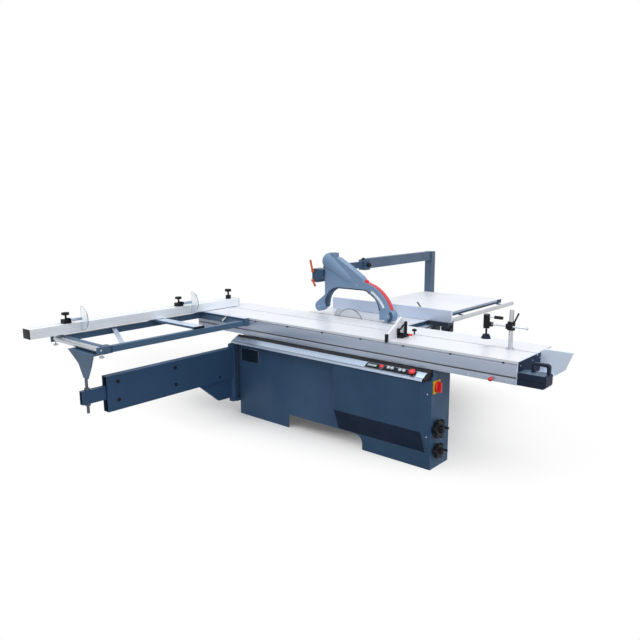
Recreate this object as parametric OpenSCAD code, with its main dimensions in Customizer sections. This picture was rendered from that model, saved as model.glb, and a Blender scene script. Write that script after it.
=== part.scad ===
// Sliding table panel saw, drawn at rest: carriage in mid stroke, blade upright and raised.
// +X points to the operator end, +Y to the rip fence side, +Z up.
// The floor is z = 0, the blade plane is y = 0 and the front cabinet is centred on x = 0.

/* [Sliding table] */
// Height of the table surface above the floor
table_h = 900; // [880:5:940]
// Length of the sliding carriage
carriage_l = 3200; // [3000:50:3600]
// Width of the carriage's top
carriage_w = 580; // [560:5:620]
// Width of the carriage's box beam
beam_w = 375; // [350:5:385]
// Height of the carriage's side
beam_h = 157; // [150:1:165]
// Thickness of the carriage's top plate
deck_t = 12; // [11:0.5:12.5]
// Wall of the carriage's extrusion
beam_wall = 9; // [6:0.5:11]
// Gap from the carriage's edge to the blade plane
blade_gap = 14; // [14:0.5:18]
// Distance of the accessory T slot from the blade plane
tslot_y = 280; // [265:5:300]
// Width of the T slot's mouth
tslot_w = 14; // [12:1:16]
// Height of the fixed rail under the carriage
rail_h = 46; // [40:1:60]

/* [Cabinet and base] */
// Length of the front cabinet
cabinet_l = 2000; // [1900:20:2100]
// Depth of the front cabinet
cabinet_d = 256; // [240:2:270]
// How far the cabinet stands out in front of the carriage
cabinet_proud = 26; // [20:1:34]
// Sheet thickness of the cabinet and base
sheet = 6; // [4:0.5:8]
// Length of each foot of the front cabinet
foot_l = 607; // [560:1:640]
// Height of the gap between the feet
toe_h = 118; // [100:1:125]
// Corner radius of that gap
toe_r = 70; // [40:1:80]
// Rear base, end away from the operator
base_tail = 690; // [660:5:700]
// Rear base, operator end
base_nose = 384; // [370:2:388]
// Rear base, distance of the back wall from the blade plane
base_back = 560; // [520:10:640]
// Anchor bolt spacing along the machine
anchor_x = 640; // [560:10:660]
// Anchor bolt spacing across the machine
anchor_y = 660; // [600:10:680]
// Anchor bolt hole diameter
anchor_d = 18; // [14:1:22]
// Diameter of the dust outlet in the back wall
outlet_d = 120; // [100:5:150]
// How far the front cover stands out
cover_proud = 70; // [50:1:76]
// Depth of the sloped console, front to back
console_d = 96; // [80:1:110]

/* [Saw unit] */
// Main blade diameter
blade_d = 300; // [280:5:310]
// Height of the blade above the table
blade_rise = 79; // [60:1:80]
// Blade thickness
blade_t = 3.2; // [2.2:0.2:3.6]
// Blade teeth
blade_teeth = 48; // [24:4:60]
// Blade centre along the machine
blade_x = -210; // [-240:5:-180]
// Arbor shaft diameter
arbor_d = 40; // [30:1:44]
// Scoring blade diameter
scoring_d = 120; // [110:5:125]
// Guide rod diameter of the lift
guide_d = 30; // [24:1:34]
// Motor diameter
motor_d = 160; // [140:5:170]
// Motor length
motor_l = 240; // [200:10:280]
// Lift handwheel diameter
lift_wheel_d = 150; // [130:5:160]
// Tilt handwheel diameter
tilt_wheel_d = 120; // [100:5:130]

/* [Outrigger and fence] */
// Length of the outrigger frame away from the carriage
outrigger_l = 1416; // [1300:10:1500]
// Width of the outrigger frame
outrigger_w = 620; // [560:10:680]
// Outrigger centre along the machine
outrigger_x = -1235; // [-1250:5:-1200]
// Outrigger tube height
tube_h = 48; // [40:1:52]
// Outrigger tube width
tube_w = 40; // [30:1:50]
// Outer roller diameter
roller_d = 45; // [38:1:50]
// Length of the crosscut fence
fence_l = 2095; // [2000:5:2200]
// Width of the crosscut fence
fence_w = 108; // [95:1:116]
// Height of the crosscut fence
fence_h = 75; // [65:1:85]
// Radius of the flip stops' flaps
flap_r = 100; // [80:1:102]

/* [Support arm] */
// Reach of the arm's box from its hinge
arm_l = 1285; // [1200:5:1320]
// Height of the arm's box
arm_h = 280; // [250:5:300]
// Width of the arm's box
arm_w = 65; // [58:1:72]
// Diameter of the hinge pin
hinge_d = 40; // [32:1:44]
// Height of the telescopic tube
slider_h = 104; // [90:1:116]
// Diameter of the support rod
support_d = 22; // [16:1:26]

/* [Tables and rip fence] */
// Fixed table, operator edge
table_nose = 396; // [380:2:400]
// Fixed table, far end
table_tail = 700; // [660:10:760]
// Fixed table, width from the blade
table_w = 700; // [640:10:760]
// Extension table, width beyond the fixed table
extension_w = 1180; // [1000:10:1250]
// Extension table thickness
extension_t = 40; // [30:1:50]
// Rip fence rail diameter
rip_rail_d = 40; // [34:1:44]
// Length of the rip fence plate
rip_l = 1280; // [1100:10:1320]
// Height of the rip fence plate
rip_h = 102; // [80:1:110]
// Distance of the rip fence from the blade
rip_y = 311; // [300:1:340]

/* [Guard] */
// Height of the boom's underside above the table
boom_z = 362; // [350:2:380]
// Boom height
boom_h = 98; // [90:1:110]
// Boom width
boom_w = 60; // [54:1:70]
// Thickness of the guard hood
hood_t = 70; // [60:1:76]
// Diameter of the hood's dust port
port_d = 80; // [70:1:90]

/* [Hold-down clamp] */
// Clamp column diameter
column_d = 31; // [26:1:36]
// Clamp column height
column_h = 275; // [240:5:320]
// Clamp rod diameter
clamp_rod_d = 14; // [12:1:16]

/* [Hidden] */
$fn = 48;
// Running fit, radial
fit = 0.05;
// Clearance between sliding faces
gap = 0.4;
// Overlap used to cut cleanly through a face
cut = 1;

carriage_far = -blade_gap;
carriage_near = carriage_far - carriage_w;
beam_back = carriage_near + beam_w;
beam_bottom = table_h - beam_h;
deck_bottom = table_h - deck_t;
deck_edge_t = 7;
cage_space = 7;
rail_top = beam_bottom - cage_space;
cabinet_h = rail_top - rail_h;
cab_front = carriage_near - cabinet_proud;
cab_back = cab_front + cabinet_d;
cab_end = cabinet_l / 2;
end_x = carriage_l / 2;

keel_y = carriage_near + 130;
keel_w = 30;
keel_h = 24;

arbor_z = table_h + blade_rise - blade_d / 2;
scoring_z = table_h + 2 - scoring_d / 2;
scoring_x = blade_x + blade_d / 2 + scoring_d / 2 + 30;
hub_d = 90;
bore_d = 30;
plate_y = [24, 40];
pulley_y = [96, 124];
arbor_pulley_r = 35;
motor_pulley_r = 55;
motor_z = arbor_z - 189;
motor_face = 136;
rod_span = 300;
rod_y0 = 70;
cheek_t = 20;
cheek_x = rod_span + 35;
cradle_z = table_h - 460;
trunnion_r = [150, 190];

arm_x = -cab_end - 50;
arm_y = cab_front - 40;
arm_drop = 65;
arm_z = [cabinet_h - arm_drop - arm_h, cabinet_h - arm_drop];
hinge_bracket_t = 26;
hinge_low = toe_h + 5;
sleeve_low = hinge_low + hinge_bracket_t + 2;
arm_end = arm_y - arm_l;
slider_z = arm_z[0] + 153;
slider_w = 40;
slider_end = arm_end - 195;
support_y = slider_end + 50;
support_top = slider_z + 140;

frame_top = table_h - 20;
frame_z = [frame_top - tube_h, frame_top];
outrigger_y1 = carriage_near - 2;
outrigger_y0 = outrigger_y1 - outrigger_l;
front_tube = outrigger_x + outrigger_w / 2;
rear_tube = outrigger_x - outrigger_w / 2;
roller_y = outrigger_y0 - 33;
roller_z = frame_top - 15;

fence_z = table_h + 5;
fence_top = fence_z + fence_h;
fence_x = rear_tube + 29;
fence_y1 = carriage_far - 176;
fence_y0 = fence_y1 - fence_l;
stop_slot_w = 12;
pivot_d = 20;
outer_stop_y = fence_y0 + 316;
inner_stop_y = fence_y1 - 690;
flap_x = fence_x + fence_w / 2 + 7;
flap_z = fence_z + 107;

table_edge = 6;
table_plate_t = 14;
table_rim = 50;
extension_y1 = table_w + extension_w;
rip_rail_x = table_nose + 42;
rip_rail_z = table_h - 50;
rip_t = 28;
rip_z = table_h + 2;
holder_x = [table_nose + 8, table_nose + 204];

boom_x = blade_x - 335;
boom_y0 = 640;
post_w = 90;
post_d = 70;
boom_bottom = table_h + boom_z;
boom_top = boom_bottom + boom_h;
inner_arm_w = 40;
inner_arm_h = 60;
arm_mid_z = boom_bottom + 43;
knuckle_x = [boom_x - 60, boom_x + 70];
knuckle_z = [arm_mid_z - 110, arm_mid_z + 5];

column_x = end_x - 188;
sleeve_z = table_h + 163;
clamp_head_x = column_x - 170;
shoe_x = 585;

// Interval of a given width about a centre
function about(centre, width) = [centre - width / 2, centre + width / 2];

// Points along an arc from angle a0 to a1
function arc(centre, r, a0, a1, steps = 16) =
    [for (i = [0:steps]) centre + r * [cos(a0 + (a1 - a0) * i / steps), sin(a0 + (a1 - a0) * i / steps)]];

// Points of a round-ended bar between two points
function bar(a, b, r) = let (t = atan2(b[1] - a[1], b[0] - a[0]))
    concat(arc(b, r, t - 90, t + 90), arc(a, r, t + 90, t + 270));

// Ring sector about a centre, from angle a0 to a1 of at most a half turn
module sector(centre, r0, r1, a0, a1) intersection() {
    difference() {
        translate(centre) circle(r1);
        translate(centre) circle(r0);
    }
    polygon(concat([centre], arc(centre, 2 * r1, a0, a1, 6)));
}

// Box between three intervals
module slab(x, y, z) translate([x[0], y[0], z[0]]) cube([x[1] - x[0], y[1] - y[0], z[1] - z[0]]);

// Flat rectangle between two intervals
module rect(x, y) translate([x[0], y[0]]) square([x[1] - x[0], y[1] - y[0]]);

// Round bars along each axis
module rod_x(d, x, y, z) translate([x[0], y, z]) rotate([0, 90, 0]) cylinder(d = d, h = x[1] - x[0]);
module rod_y(d, x, y, z) translate([x, y[0], z]) rotate([-90, 0, 0]) cylinder(d = d, h = y[1] - y[0]);
module rod_z(d, x, y, z) translate([x, y, z[0]]) cylinder(d = d, h = z[1] - z[0]);

// Extrude a section drawn in Y and Z along X
module along_x(x) translate([x[0], 0, 0]) rotate([90, 0, 90]) linear_extrude(x[1] - x[0]) children();

// Extrude a section drawn in X and Z along Y
module along_y(y) translate([0, y[1], 0]) rotate([90, 0, 0]) linear_extrude(y[1] - y[0]) children();

// Rounded bar outline between two points
module capsule(a, b, r) {
    d = b - a;
    translate(a) circle(r);
    translate(b) circle(r);
    translate(a) rotate(atan2(d[1], d[0])) translate([0, -r]) square([norm(d), 2 * r]);
}

// Knob with round lobes, standing on z = 0
module lobed_knob(d, h, lobes) {
    lobe = d / 4;
    linear_extrude(h) {
        circle(d = d - lobe);
        for (i = [0:lobes - 1]) rotate((i + 0.3) * 360 / lobes) translate([d / 2 - lobe / 2, 0])
            circle(d = lobe);
    }
}

// Sheet steel front cabinet: closed top, open underneath, cut away between its feet
module front_cabinet() {
    toe = cab_end - foot_l;
    foot_flange = 40;
    tail_r = 10;
    color("slategray") difference() {
        union() {
            difference() {
                slab([-cab_end, cab_end], [cab_front, cab_back], [0, cabinet_h]);
                slab([-cab_end + sheet, cab_end - sheet], [cab_front + sheet, cab_back - sheet],
                    [-cut, cabinet_h - sheet]);
            }
            for (side = [-1, 1]) slab(about(side * (cab_end - sheet - foot_flange / 2), foot_flange),
                [cab_front + sheet, cab_back - sheet], [0, sheet]);
        }
        along_y([cab_front - cut, cab_back + cut]) {
            rect([-toe + tail_r, toe - toe_r], [-cut, toe_h]);
            rect([-toe, -toe + 2 * tail_r], [-cut, toe_h - tail_r]);
            rect([0, toe], [-cut, toe_h - toe_r]);
            translate([toe - toe_r, toe_h - toe_r]) circle(toe_r);
            translate([-toe + tail_r, toe_h - tail_r]) circle(tail_r);
        }
        for (w = [lift_wheel_z, tilt_wheel_z])
            rod_x(wheel_shaft_d + 2 * fit, [cab_end - sheet - cut, cab_end + cut], wheel_y, w);
        rod_x(switch_stem_d + 2 * fit, [cab_end - sheet - cut, cab_end + cut], switch_y, switch_z);
    }
}
wheel_y = cab_front + 70;
wheel_shaft_d = 20;
lift_wheel_z = 304;
tilt_wheel_z = 138;
switch_y = cab_front + 55;
switch_z = cabinet_h - 74;
switch_stem_d = 12;

// Welded rear base under the fixed table: four walls, anchor skids and the dust outlet
module rear_base() {
    step_z = cabinet_h + 10;
    saddle = table_edge + 34;
    seat_z = table_h - table_rim;
    skid_w = 60;
    skid_t = 10;
    outlet_z = 260;
    pipe_t = 3;
    pipe_l = 80;
    ends = [-base_tail, base_nose];
    color("darkslategray") difference() {
        union() {
            for (x = [-base_tail, base_nose - sheet]) along_x([x, x + sheet]) polygon([
                [cab_back, 0], [base_back, 0], [base_back, seat_z], [saddle, seat_z],
                [saddle, step_z], [cab_back, step_z]]);
            slab(ends, [base_back - sheet, base_back], [0, seat_z]);
            slab(ends, [cab_back, cab_back + sheet], [0, step_z]);
            for (side = [-1, 1]) slab(ends, about(side * anchor_y / 2, skid_w), [0, skid_t]);
            rod_y(outlet_d, blade_x, [base_back - sheet, base_back + pipe_l], outlet_z);
        }
        rod_y(outlet_d - 2 * pipe_t, blade_x, [base_back - sheet - cut, base_back + pipe_l + cut],
            outlet_z);
        for (sx = [-1, 1]) for (sy = [-1, 1])
            rod_z(anchor_d, sx * anchor_x / 2, sy * anchor_y / 2, [-cut, skid_t + cut]);
    }
}

// Front cover of the right half: a folded shell whose lower face slants back to the cabinet
module cover_form(inset) {
    top = cabinet_h - 22 - inset;
    lip = cab_front - cover_proud + inset;
    fold_z = 300 + inset;
    foot_z = toe_h + 2 + inset * 2;
    tail = cab_end - 840 + inset;
    nose = cab_end - inset;
    intersection() {
        along_x([tail, nose]) polygon([
            [cab_front, foot_z], [cab_front, top], [lip, top], [lip, fold_z]]);
        linear_extrude(cabinet_h) polygon([
            [tail, cab_front + inset], [tail, lip - cut], [nose - 45, lip - cut], [nose,
                cab_front + inset]]);
    }
}

module front_cover() {
    color("slategray") difference() {
        cover_form(0);
        cover_form(sheet);
    }
}

// Sloped aluminium console along the cabinet's top front edge, with a ribbed lip
console_top = [cab_front + 16, rail_top];
console_drop = rail_top - cabinet_h + 2;
console_slope = atan2(console_drop, console_d);
console_ends = [-cab_end - 15, cab_end - 35];
module console_strip() {
    lip_h = 14;
    wall = 4;
    ribs = 4;
    rib_r = 1.5;
    lip = console_top - [console_d, console_drop];
    color("silver") difference() {
        along_x(console_ends) console_section(lip, lip_h, wall, ribs, rib_r);
        for (x = [estop_x, stop_x]) on_console(x, button_s) translate([0, 0, -2 * wall])
            cylinder(d = button_stem_d + 2, h = 2 * wall + cut);
        for (x = rocker_x) on_console(x, button_s) slab(about(0, rocker_l), about(0, rocker_w),
            [-2 * wall, cut]);
    }
}
module console_section(lip, lip_h, wall, ribs, rib_r) {
    difference() {
        polygon([[console_top[0], cabinet_h], console_top, lip, lip - [0, lip_h],
            [cab_front, lip[1] - lip_h], [cab_front, cabinet_h]]);
        polygon([[console_top[0] - wall, cabinet_h + wall], console_top - [wall, wall * 2],
            lip + [wall, -wall], lip - [-wall, lip_h - wall],
            [cab_front - wall, lip[1] - lip_h + wall], [cab_front - wall, cabinet_h + wall]]);
    }
    for (i = [0:ribs - 1]) translate(lip - [0, (i + 0.5) * lip_h / ribs]) circle(rib_r, $fn = 16);
}

// Place children on the console's slope, s down from its top edge
module on_console(x, s) {
    translate([x, console_top[0] - s * cos(console_slope), console_top[1] - s * sin(console_slope)])
        rotate([console_slope, 0, 0]) children();
}
panel_x = [cab_end - 546, cab_end - 110];
panel_s = [36, 88];
panel_t = 3;
button_s = (panel_s[0] + panel_s[1]) / 2;
estop_x = panel_x[1] - 28;
stop_x = panel_x[0] + 145;
rocker_x = [panel_x[0] + 222, panel_x[0] + 322];

// Switch panel with a display frame and the buttons' guide holes
module control_panel() {
    frame_h = 3;
    color("dimgray") on_console(0, 0) difference() {
        union() {
            slab(panel_x, [-panel_s[1], -panel_s[0]], [0, panel_t]);
            slab([panel_x[0] + 10, panel_x[0] + 104], [-panel_s[1] + 8, -panel_s[0] - 8], [panel_t,
                panel_t + frame_h]);
        }
        slab([panel_x[0] + 16, panel_x[0] + 98], [-panel_s[1] + 14, -panel_s[0] - 14],
            [panel_t + 1, panel_t + frame_h + cut]);
        for (x = [estop_x, stop_x]) translate([x, -button_s, -cut])
            cylinder(d = button_stem_d + 2 * fit, h = panel_t + 2 * cut);
        for (x = rocker_x) {
            slab(about(x, rocker_l), about(-button_s, rocker_w), [-cut, panel_t + cut]);
            rod_y(rocker_pin_d + 2 * fit, x, about(-button_s, rocker_w + 5), panel_t / 2);
        }
    }
}
button_stem_d = 16;
rocker_l = 62;
rocker_w = 26;
rocker_pin_d = 1.6;

// Fixed guide rail under the carriage: a box section with a keel
module base_rail() {
    wall = 8;
    y = [carriage_near + 20, cab_back - sheet];
    color("dimgray") along_x([-cab_end + 10, cab_end - 10]) difference() {
        union() {
            rect(y, [cabinet_h, rail_top]);
            rect(about(keel_y, keel_w), [rail_top - cut, rail_top + keel_h]);
        }
        rect([y[0] + wall, y[1] - wall], [cabinet_h + wall, rail_top - wall]);
    }
}

// Cast iron table right of the blade: plate, rim and ribs
module fixed_table() {
    rim_t = 14;
    x = [-table_tail, table_nose];
    y = [table_edge, table_w];
    rim_z = [table_h - table_rim, table_h];
    arbor_window = [blade_x - cheek_x - 70, blade_x + cheek_x + 70];
    color("gainsboro") {
        difference() {
            slab(x, y, rim_z);
            slab([x[0] + rim_t, x[1] - rim_t], [y[0] + rim_t, y[1] - rim_t], [rim_z[0] - cut,
                table_h - table_plate_t]);
            slab(arbor_window, [y[0] - cut, y[0] + rim_t + cut], [rim_z[0] - cut, table_h - table_plate_t]);
        }
        for (i = [1:3]) slab([x[0] + rim_t, x[1] - rim_t], about(y[0] + 300 + i * 90, 8),
            [rim_z[0] + 10, table_h - table_plate_t]);
    }
}

// Sheet extension table beyond the fixed table, with a grooved operator edge
extension_x = [-600, table_nose - 46];
module extension_table() {
    lip = 24;
    groove = 10;
    color("whitesmoke") difference() {
        slab(extension_x, [table_w, extension_y1], [table_h - extension_t, table_h]);
        slab([extension_x[0] + lip, extension_x[1] - lip], [table_w + lip, extension_y1 - lip],
            [table_h - extension_t - cut, table_h - 8]);
        slab([extension_x[1] - 6, extension_x[1] + cut], [table_w - cut, extension_y1 + cut],
            about(table_h - extension_t / 2, groove));
    }
}

// Round rail of the rip fence on studs along the tables' operator edges
module rip_rail() {
    stud_d = 16;
    y = [60, extension_y1 + 75];
    color("silver") {
        rod_y(rip_rail_d, rip_rail_x, y, rip_rail_z);
        rod_x(stud_d, [table_nose, rip_rail_x], table_w - 20, rip_rail_z);
        rod_x(stud_d, [table_nose, rip_rail_x], 120, rip_rail_z);
        for (y = [table_w + 300, extension_y1 - 60]) {
            rod_x(stud_d, [extension_x[1] - 24, rip_rail_x], y, rip_rail_z);
            slab([extension_x[1] - 24, extension_x[1] - 4], about(y, stud_d), [rip_rail_z,
                table_h - extension_t]);
        }
    }
}

// Post and boom that carry the guard over the table
module guard_post() {
    foot_z = table_h - 160;
    post_y = [extension_y1, extension_y1 + post_d];
    collar = 10;
    color("slategray") difference() {
        union() {
            slab(about(boom_x, post_w), post_y, [foot_z, boom_top]);
            slab(about(boom_x, boom_w), [boom_y0, post_y[1]], [boom_bottom, boom_top]);
            slab(about(boom_x, boom_w + 2 * collar), [boom_y0 - 20, boom_y0 + 60],
                [boom_bottom - collar, boom_top - collar]);
            translate([boom_x - boom_w / 2 - collar + cut, boom_y0 + 20, arm_mid_z]) rotate([0, -90, 0]) {
                cylinder(d = 14, h = 16);
                translate([0, 0, 14]) lobed_knob(38, 18, 5);
            }
        }
        slab(about(boom_x, inner_arm_w + 2 * gap), [boom_y0 - 20 - cut, post_y[0]],
            about(arm_mid_z, inner_arm_h + 2 * gap));
    }
}

// Hinge pin and brackets of the support arm on the cabinet's tail end
module hinge_post() {
    bracket_t = hinge_bracket_t;
    plate_t = 10;
    lower = hinge_low;
    upper = arm_z[1] + 2;
    web_y = [arm_y + hinge_d / 2 + 34, arm_y + hinge_d / 2 + 44];
    color("slategray") {
        rod_z(hinge_d, arm_x, arm_y, [lower, upper + bracket_t]);
        for (z = [lower, upper]) difference() {
            union() {
                rod_z(hinge_d + 36, arm_x, arm_y, [z, z + bracket_t]);
                slab([arm_x - 10, -cab_end], [arm_y, cab_front + 60], [z, z + bracket_t]);
            }
            rod_z(hinge_d, arm_x, arm_y, [z - cut, z + bracket_t + cut]);
        }
        for (z = [lower, upper])
            slab([-cab_end - plate_t, -cab_end], [web_y[0], cab_front + 110], [z, z + bracket_t]);
        slab([arm_x - 10, -cab_end], web_y, [lower, upper + bracket_t]);
    }
}

// Curved cradles under the fixed table that carry the tilting frame
module trunnion_shoes() {
    shoe_t = 12;
    shoe_r = [trunnion_r[1] + gap, trunnion_r[1] + 26];
    hanger = [110, 190];
    color("dimgray") for (side = [-1, 1]) translate([blade_x, 0, 0]) mirror([side < 0 ? 1 : 0, 0, 0]) {
        along_x([cheek_x + cheek_t / 2 + gap, cheek_x + cheek_t * 1.5 + shoe_t])
            sector([0, table_h], shoe_r[0], shoe_r[1], 192, 325);
        along_x([cheek_x + cheek_t * 1.5 + gap, cheek_x + cheek_t * 1.5 + shoe_t])
            polygon(concat([[hanger[1], table_h - table_plate_t], [hanger[0], table_h - table_plate_t]],
                arc([0, table_h], trunnion_r[0], 300, 318, 6), arc([0, table_h], shoe_r[1] - 2, 325,
                    322, 2)));
    }
}

// Carriage extrusion: box beam, cantilevered deck, T slots, keel groove and side grooves
module carriage_section() {
    keel_cut = keel_w + 3;
    side_slot = [table_h - 29, table_h - 16];
    side_depth = 12;
    undercut = 5;
    waist = [table_h - 119, table_h - 104];
    rib = [60, 26];
    near_wall = 30;
    difference() {
        polygon([[carriage_near, beam_bottom], [beam_back, beam_bottom], [beam_back, table_h - rib[1]],
            [beam_back + rib[0], table_h - rib[1]], [beam_back + rib[0], deck_bottom],
            [carriage_far - deck_t + deck_edge_t, deck_bottom], [carriage_far, table_h - deck_edge_t],
            [carriage_far, table_h], [carriage_near, table_h]]);
        rect([carriage_near + near_wall, keel_y - keel_cut / 2 - beam_wall], [beam_bottom + beam_wall,
            deck_bottom]);
        rect([keel_y + keel_cut / 2 + beam_wall, beam_back - beam_wall], [beam_bottom + beam_wall,
            deck_bottom - 20]);
        rect(about(keel_y, keel_cut), [beam_bottom - cut, rail_top + keel_h + 3]);
        rect(about(keel_y, keel_cut), [rail_top + keel_h + 3 + beam_wall, deck_bottom]);
        rect(about(-tslot_y, tslot_w), [table_h - 11, table_h + cut]);
        rect(about(-tslot_y, tslot_w + 12), [table_h - 22, table_h - 10]);
        rect([carriage_near - cut, carriage_near + side_depth], side_slot);
        rect([carriage_near + side_depth - cut, carriage_near + side_depth + 10],
            [side_slot[0] - undercut, side_slot[1] + undercut]);
        rect([carriage_near - cut, carriage_near + 6], waist);
    }
}
lock_x = end_x - 166;
lock_z = beam_bottom + 17;
lock_stem_d = 10;
module carriage() {
    color("silver") difference() {
        along_x([-end_x, end_x]) carriage_section();
        rod_y(lock_stem_d + 2 * fit, lock_x, [carriage_near - cut, carriage_near + 26], lock_z);
    }
}

// Open tray folded from sheet on the carriage's operator end
tray_t = 6;
tray_l = 200;
tray_floor = beam_bottom + 6;
module end_tray() {
    wall_top = table_h + 20;
    floor_t = 4;
    notch = tslot_w + 4;
    keel_room = 5;
    keel_top = rail_top + keel_h;
    x = end_x + tray_t;
    color("steelblue") {
        difference() {
            slab([end_x, x], [carriage_near, beam_back], [tray_floor, table_h - 3]);
            slab([end_x - cut, x + cut], about(-tslot_y, notch), [table_h - 16, table_h]);
            slab([end_x - cut, x + cut], about(keel_y, keel_w + 2 * keel_room), [tray_floor - cut,
                keel_top + keel_room]);
        }
        along_y([beam_back - tray_t, beam_back]) polygon([
            [x, tray_floor], [x, table_h - 4], [x + 23, wall_top], [x + tray_l + 20, wall_top],
            [x + tray_l - 26, table_h - 100], [x + tray_l - 90, tray_floor]]);
        slab([x + 23, x + tray_l + 20], [beam_back, beam_back + 22], [wall_top - floor_t, wall_top]);
        slab([x, x + tray_l - 90], [keel_y + keel_w / 2 + keel_room, beam_back - tray_t],
            [tray_floor, tray_floor + floor_t]);
    }
}

// Rounded rubber bumper block beside the tray
bumper_h = 84;
bumper_w = 110;
module bumper() {
    nose_r = 24;
    x = [end_x + tray_t, end_x + tray_t + tray_l - 12];
    z = [tray_floor - 2, tray_floor - 2 + bumper_h];
    groove = 6;
    color("#1f2530") difference() {
        along_y(about(carriage_near - 4 + bumper_w / 2, bumper_w)) {
            rect([x[0], x[1] - nose_r], z);
            rect([x[0], x[1]], [z[0] + nose_r, z[1] - nose_r / 2]);
            translate([x[1] - nose_r, z[0] + nose_r]) circle(nose_r);
            translate([x[1] - nose_r / 2, z[1] - nose_r / 2]) circle(nose_r / 2);
        }
        slab([x[0] - cut, x[1] + cut], [carriage_near - 4 - cut, carriage_near - 4 + groove / 2],
            about(z[0] + bumper_h / 2, groove));
    }
}

// Bow handle on the bumper
module pull_handle() {
    foot = tray_floor - 2 + bumper_h;
    x = [end_x + 72, end_x + 190];
    rise = 66;
    bar = 18;
    r = 22;
    y = about(carriage_near + 70, 30);
    color("#1f2530") along_y(y) difference() {
        union() {
            rect([x[0] + r, x[1] - r], [foot, foot + rise]);
            rect(x, [foot, foot + rise - r]);
            for (cx = [x[0] + r, x[1] - r]) translate([cx, foot + rise - r]) circle(r);
        }
        rect([x[0] + bar + r / 2, x[1] - bar - r / 2], [foot - cut, foot + rise - bar]);
        rect([x[0] + bar, x[1] - bar], [foot - cut, foot + rise - bar - r / 2]);
        for (cx = [x[0] + bar + r / 2, x[1] - bar - r / 2])
            translate([cx, foot + rise - bar - r / 2]) circle(r / 2);
    }
}

// Red ball knob that locks the carriage
module table_lock_knob() {
    ball = 30;
    stem = 14;
    color("crimson") {
        rod_y(lock_stem_d, lock_x, [carriage_near - stem, carriage_near + 22], lock_z);
        translate([lock_x, carriage_near - stem - ball / 2 + 3, lock_z]) difference() {
            sphere(d = ball);
            translate([0, ball / 2 - 3, 0]) rotate([-90, 0, 0]) cylinder(d = ball, h = ball);
        }
    }
}

// Two half speed roller strips between the rail and the carriage
module roller_cage() {
    length = 1700;
    pitch = 100;
    roller = cage_space - 2 * gap;
    plate = 4;
    mid = rail_top + cage_space / 2;
    near = [carriage_near + 26, keel_y - keel_w / 2 - 8];
    far = [keel_y + keel_w / 2 + 8, cab_back - sheet - 8];
    color("goldenrod") for (y = [near, far]) {
        slab(about(0, length), y, about(mid, plate));
        for (x = [-length / 2 + pitch / 2:pitch:length / 2]) rod_y(roller, x, [y[0] + 4, y[1] - 4], mid);
    }
}

// Outrigger frame: two tubes, inner beam with its hook, outer beam, brace, roller ears and bracket
ear_t = 14;
module outrigger_frame() {
    inner_w = 42;
    hook = [table_h - 29, table_h - 18];
    ear_x = [rear_tube - tube_w / 2 - ear_t, front_tube + tube_w / 2];
    bracket_top = frame_z[0];
    bracket_y = [support_y - 4, support_y + 4];
    bracket_low = support_top + gap;
    tube_x = [rear_tube, front_tube];
    brace_w = 40;
    brace_t = 8;
    brace_a = [rear_tube + tube_w / 2 - 4, outrigger_y0 + 467];
    brace_b = [front_tube - tube_w / 2 + 4, outrigger_y0 + 176];
    color("slategray") difference() {
        union() {
            for (x = tube_x) slab(about(x, tube_w), [outrigger_y0, outrigger_y1 - inner_w + cut], frame_z);
            slab([rear_tube - 65, front_tube + 35], [outrigger_y1 - inner_w, outrigger_y1],
                [frame_z[0], table_h]);
            slab([rear_tube - 65, front_tube + 35], [outrigger_y1 - cut, carriage_near + 10], hook);
            slab([rear_tube, front_tube], [outrigger_y0, outrigger_y0 + tube_w], frame_z);
            translate([0, 0, frame_z[0] + 34]) linear_extrude(brace_t) polygon([
                brace_a - [0, brace_w / 2], brace_b - [0, brace_w / 2], brace_b + [0, brace_w / 2],
                brace_a + [0, brace_w / 2]]);
            for (x = ear_x) slab([x, x + ear_t], [roller_y - 30, outrigger_y0 + tube_w],
                [frame_z[0] + 6, frame_top + 8]);
            slab([arm_x - 230, arm_x + 130], [bracket_y[0], outrigger_y0 + tube_w], [bracket_top - 8,
                bracket_top]);
            along_y(bracket_y) polygon([[arm_x - 230, bracket_top], [arm_x + 130, bracket_top],
                [arm_x + 90, bracket_top - 90], [arm_x + 30, bracket_low], [arm_x - 30, bracket_low],
                [arm_x - 90, bracket_top - 90]]);
        }
        for (x = ear_x) rod_x(roller_stub_d + 2 * fit, [x - cut, x + ear_t + cut], roller_y, roller_z);
        slab([rear_tube - 65 + 6, front_tube + 35 - 6], [outrigger_y1 - inner_w - cut,
            outrigger_y1 - inner_w + 12],
            [frame_top - 2, table_h - 8]);
    }
    color("dimgray") {
        rod_z(pivot_d, fence_x, -tslot_y, [table_h + gap, fence_top + 20]);
        rod_z(tslot_w - 2, fence_x, -tslot_y, [table_h - 12, table_h + 1]);
        slab(about(fence_x, 50), about(-tslot_y, tslot_w + 10), [table_h - 21, table_h - 11]);
        rod_z(pivot_d + 24, fence_x, -tslot_y, [table_h + gap, fence_z]);
    }
}
roller_stub_d = 16;

// Loose support roller at the outrigger's outer end
module outrigger_roller() {
    x = [rear_tube - tube_w / 2 + 2, front_tube + tube_w / 2 - 2];
    color("silver") {
        rod_x(roller_d, x, roller_y, roller_z);
        rod_x(roller_stub_d, [x[0] - ear_t - 2, x[1] + ear_t + 2], roller_y, roller_z);
    }
}

// Cross support that slides along the outrigger's tubes
cross_reach = 890;
cross_y = outrigger_y0 + cross_reach;
cross_w = 100;
module cross_support() {
    lip_t = 10;
    z = [frame_top - 24, frame_top + 18];
    far = rear_tube - tube_w / 2 - gap;
    near = front_tube - tube_w / 2 - gap;
    color("slategray") {
        slab([far - lip_t, front_tube], about(cross_y, cross_w), [frame_top + gap, z[1]]);
        for (x = [far, near]) slab([x - lip_t, x], about(cross_y, cross_w), [z[0], z[1] - cut]);
    }
}

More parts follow.
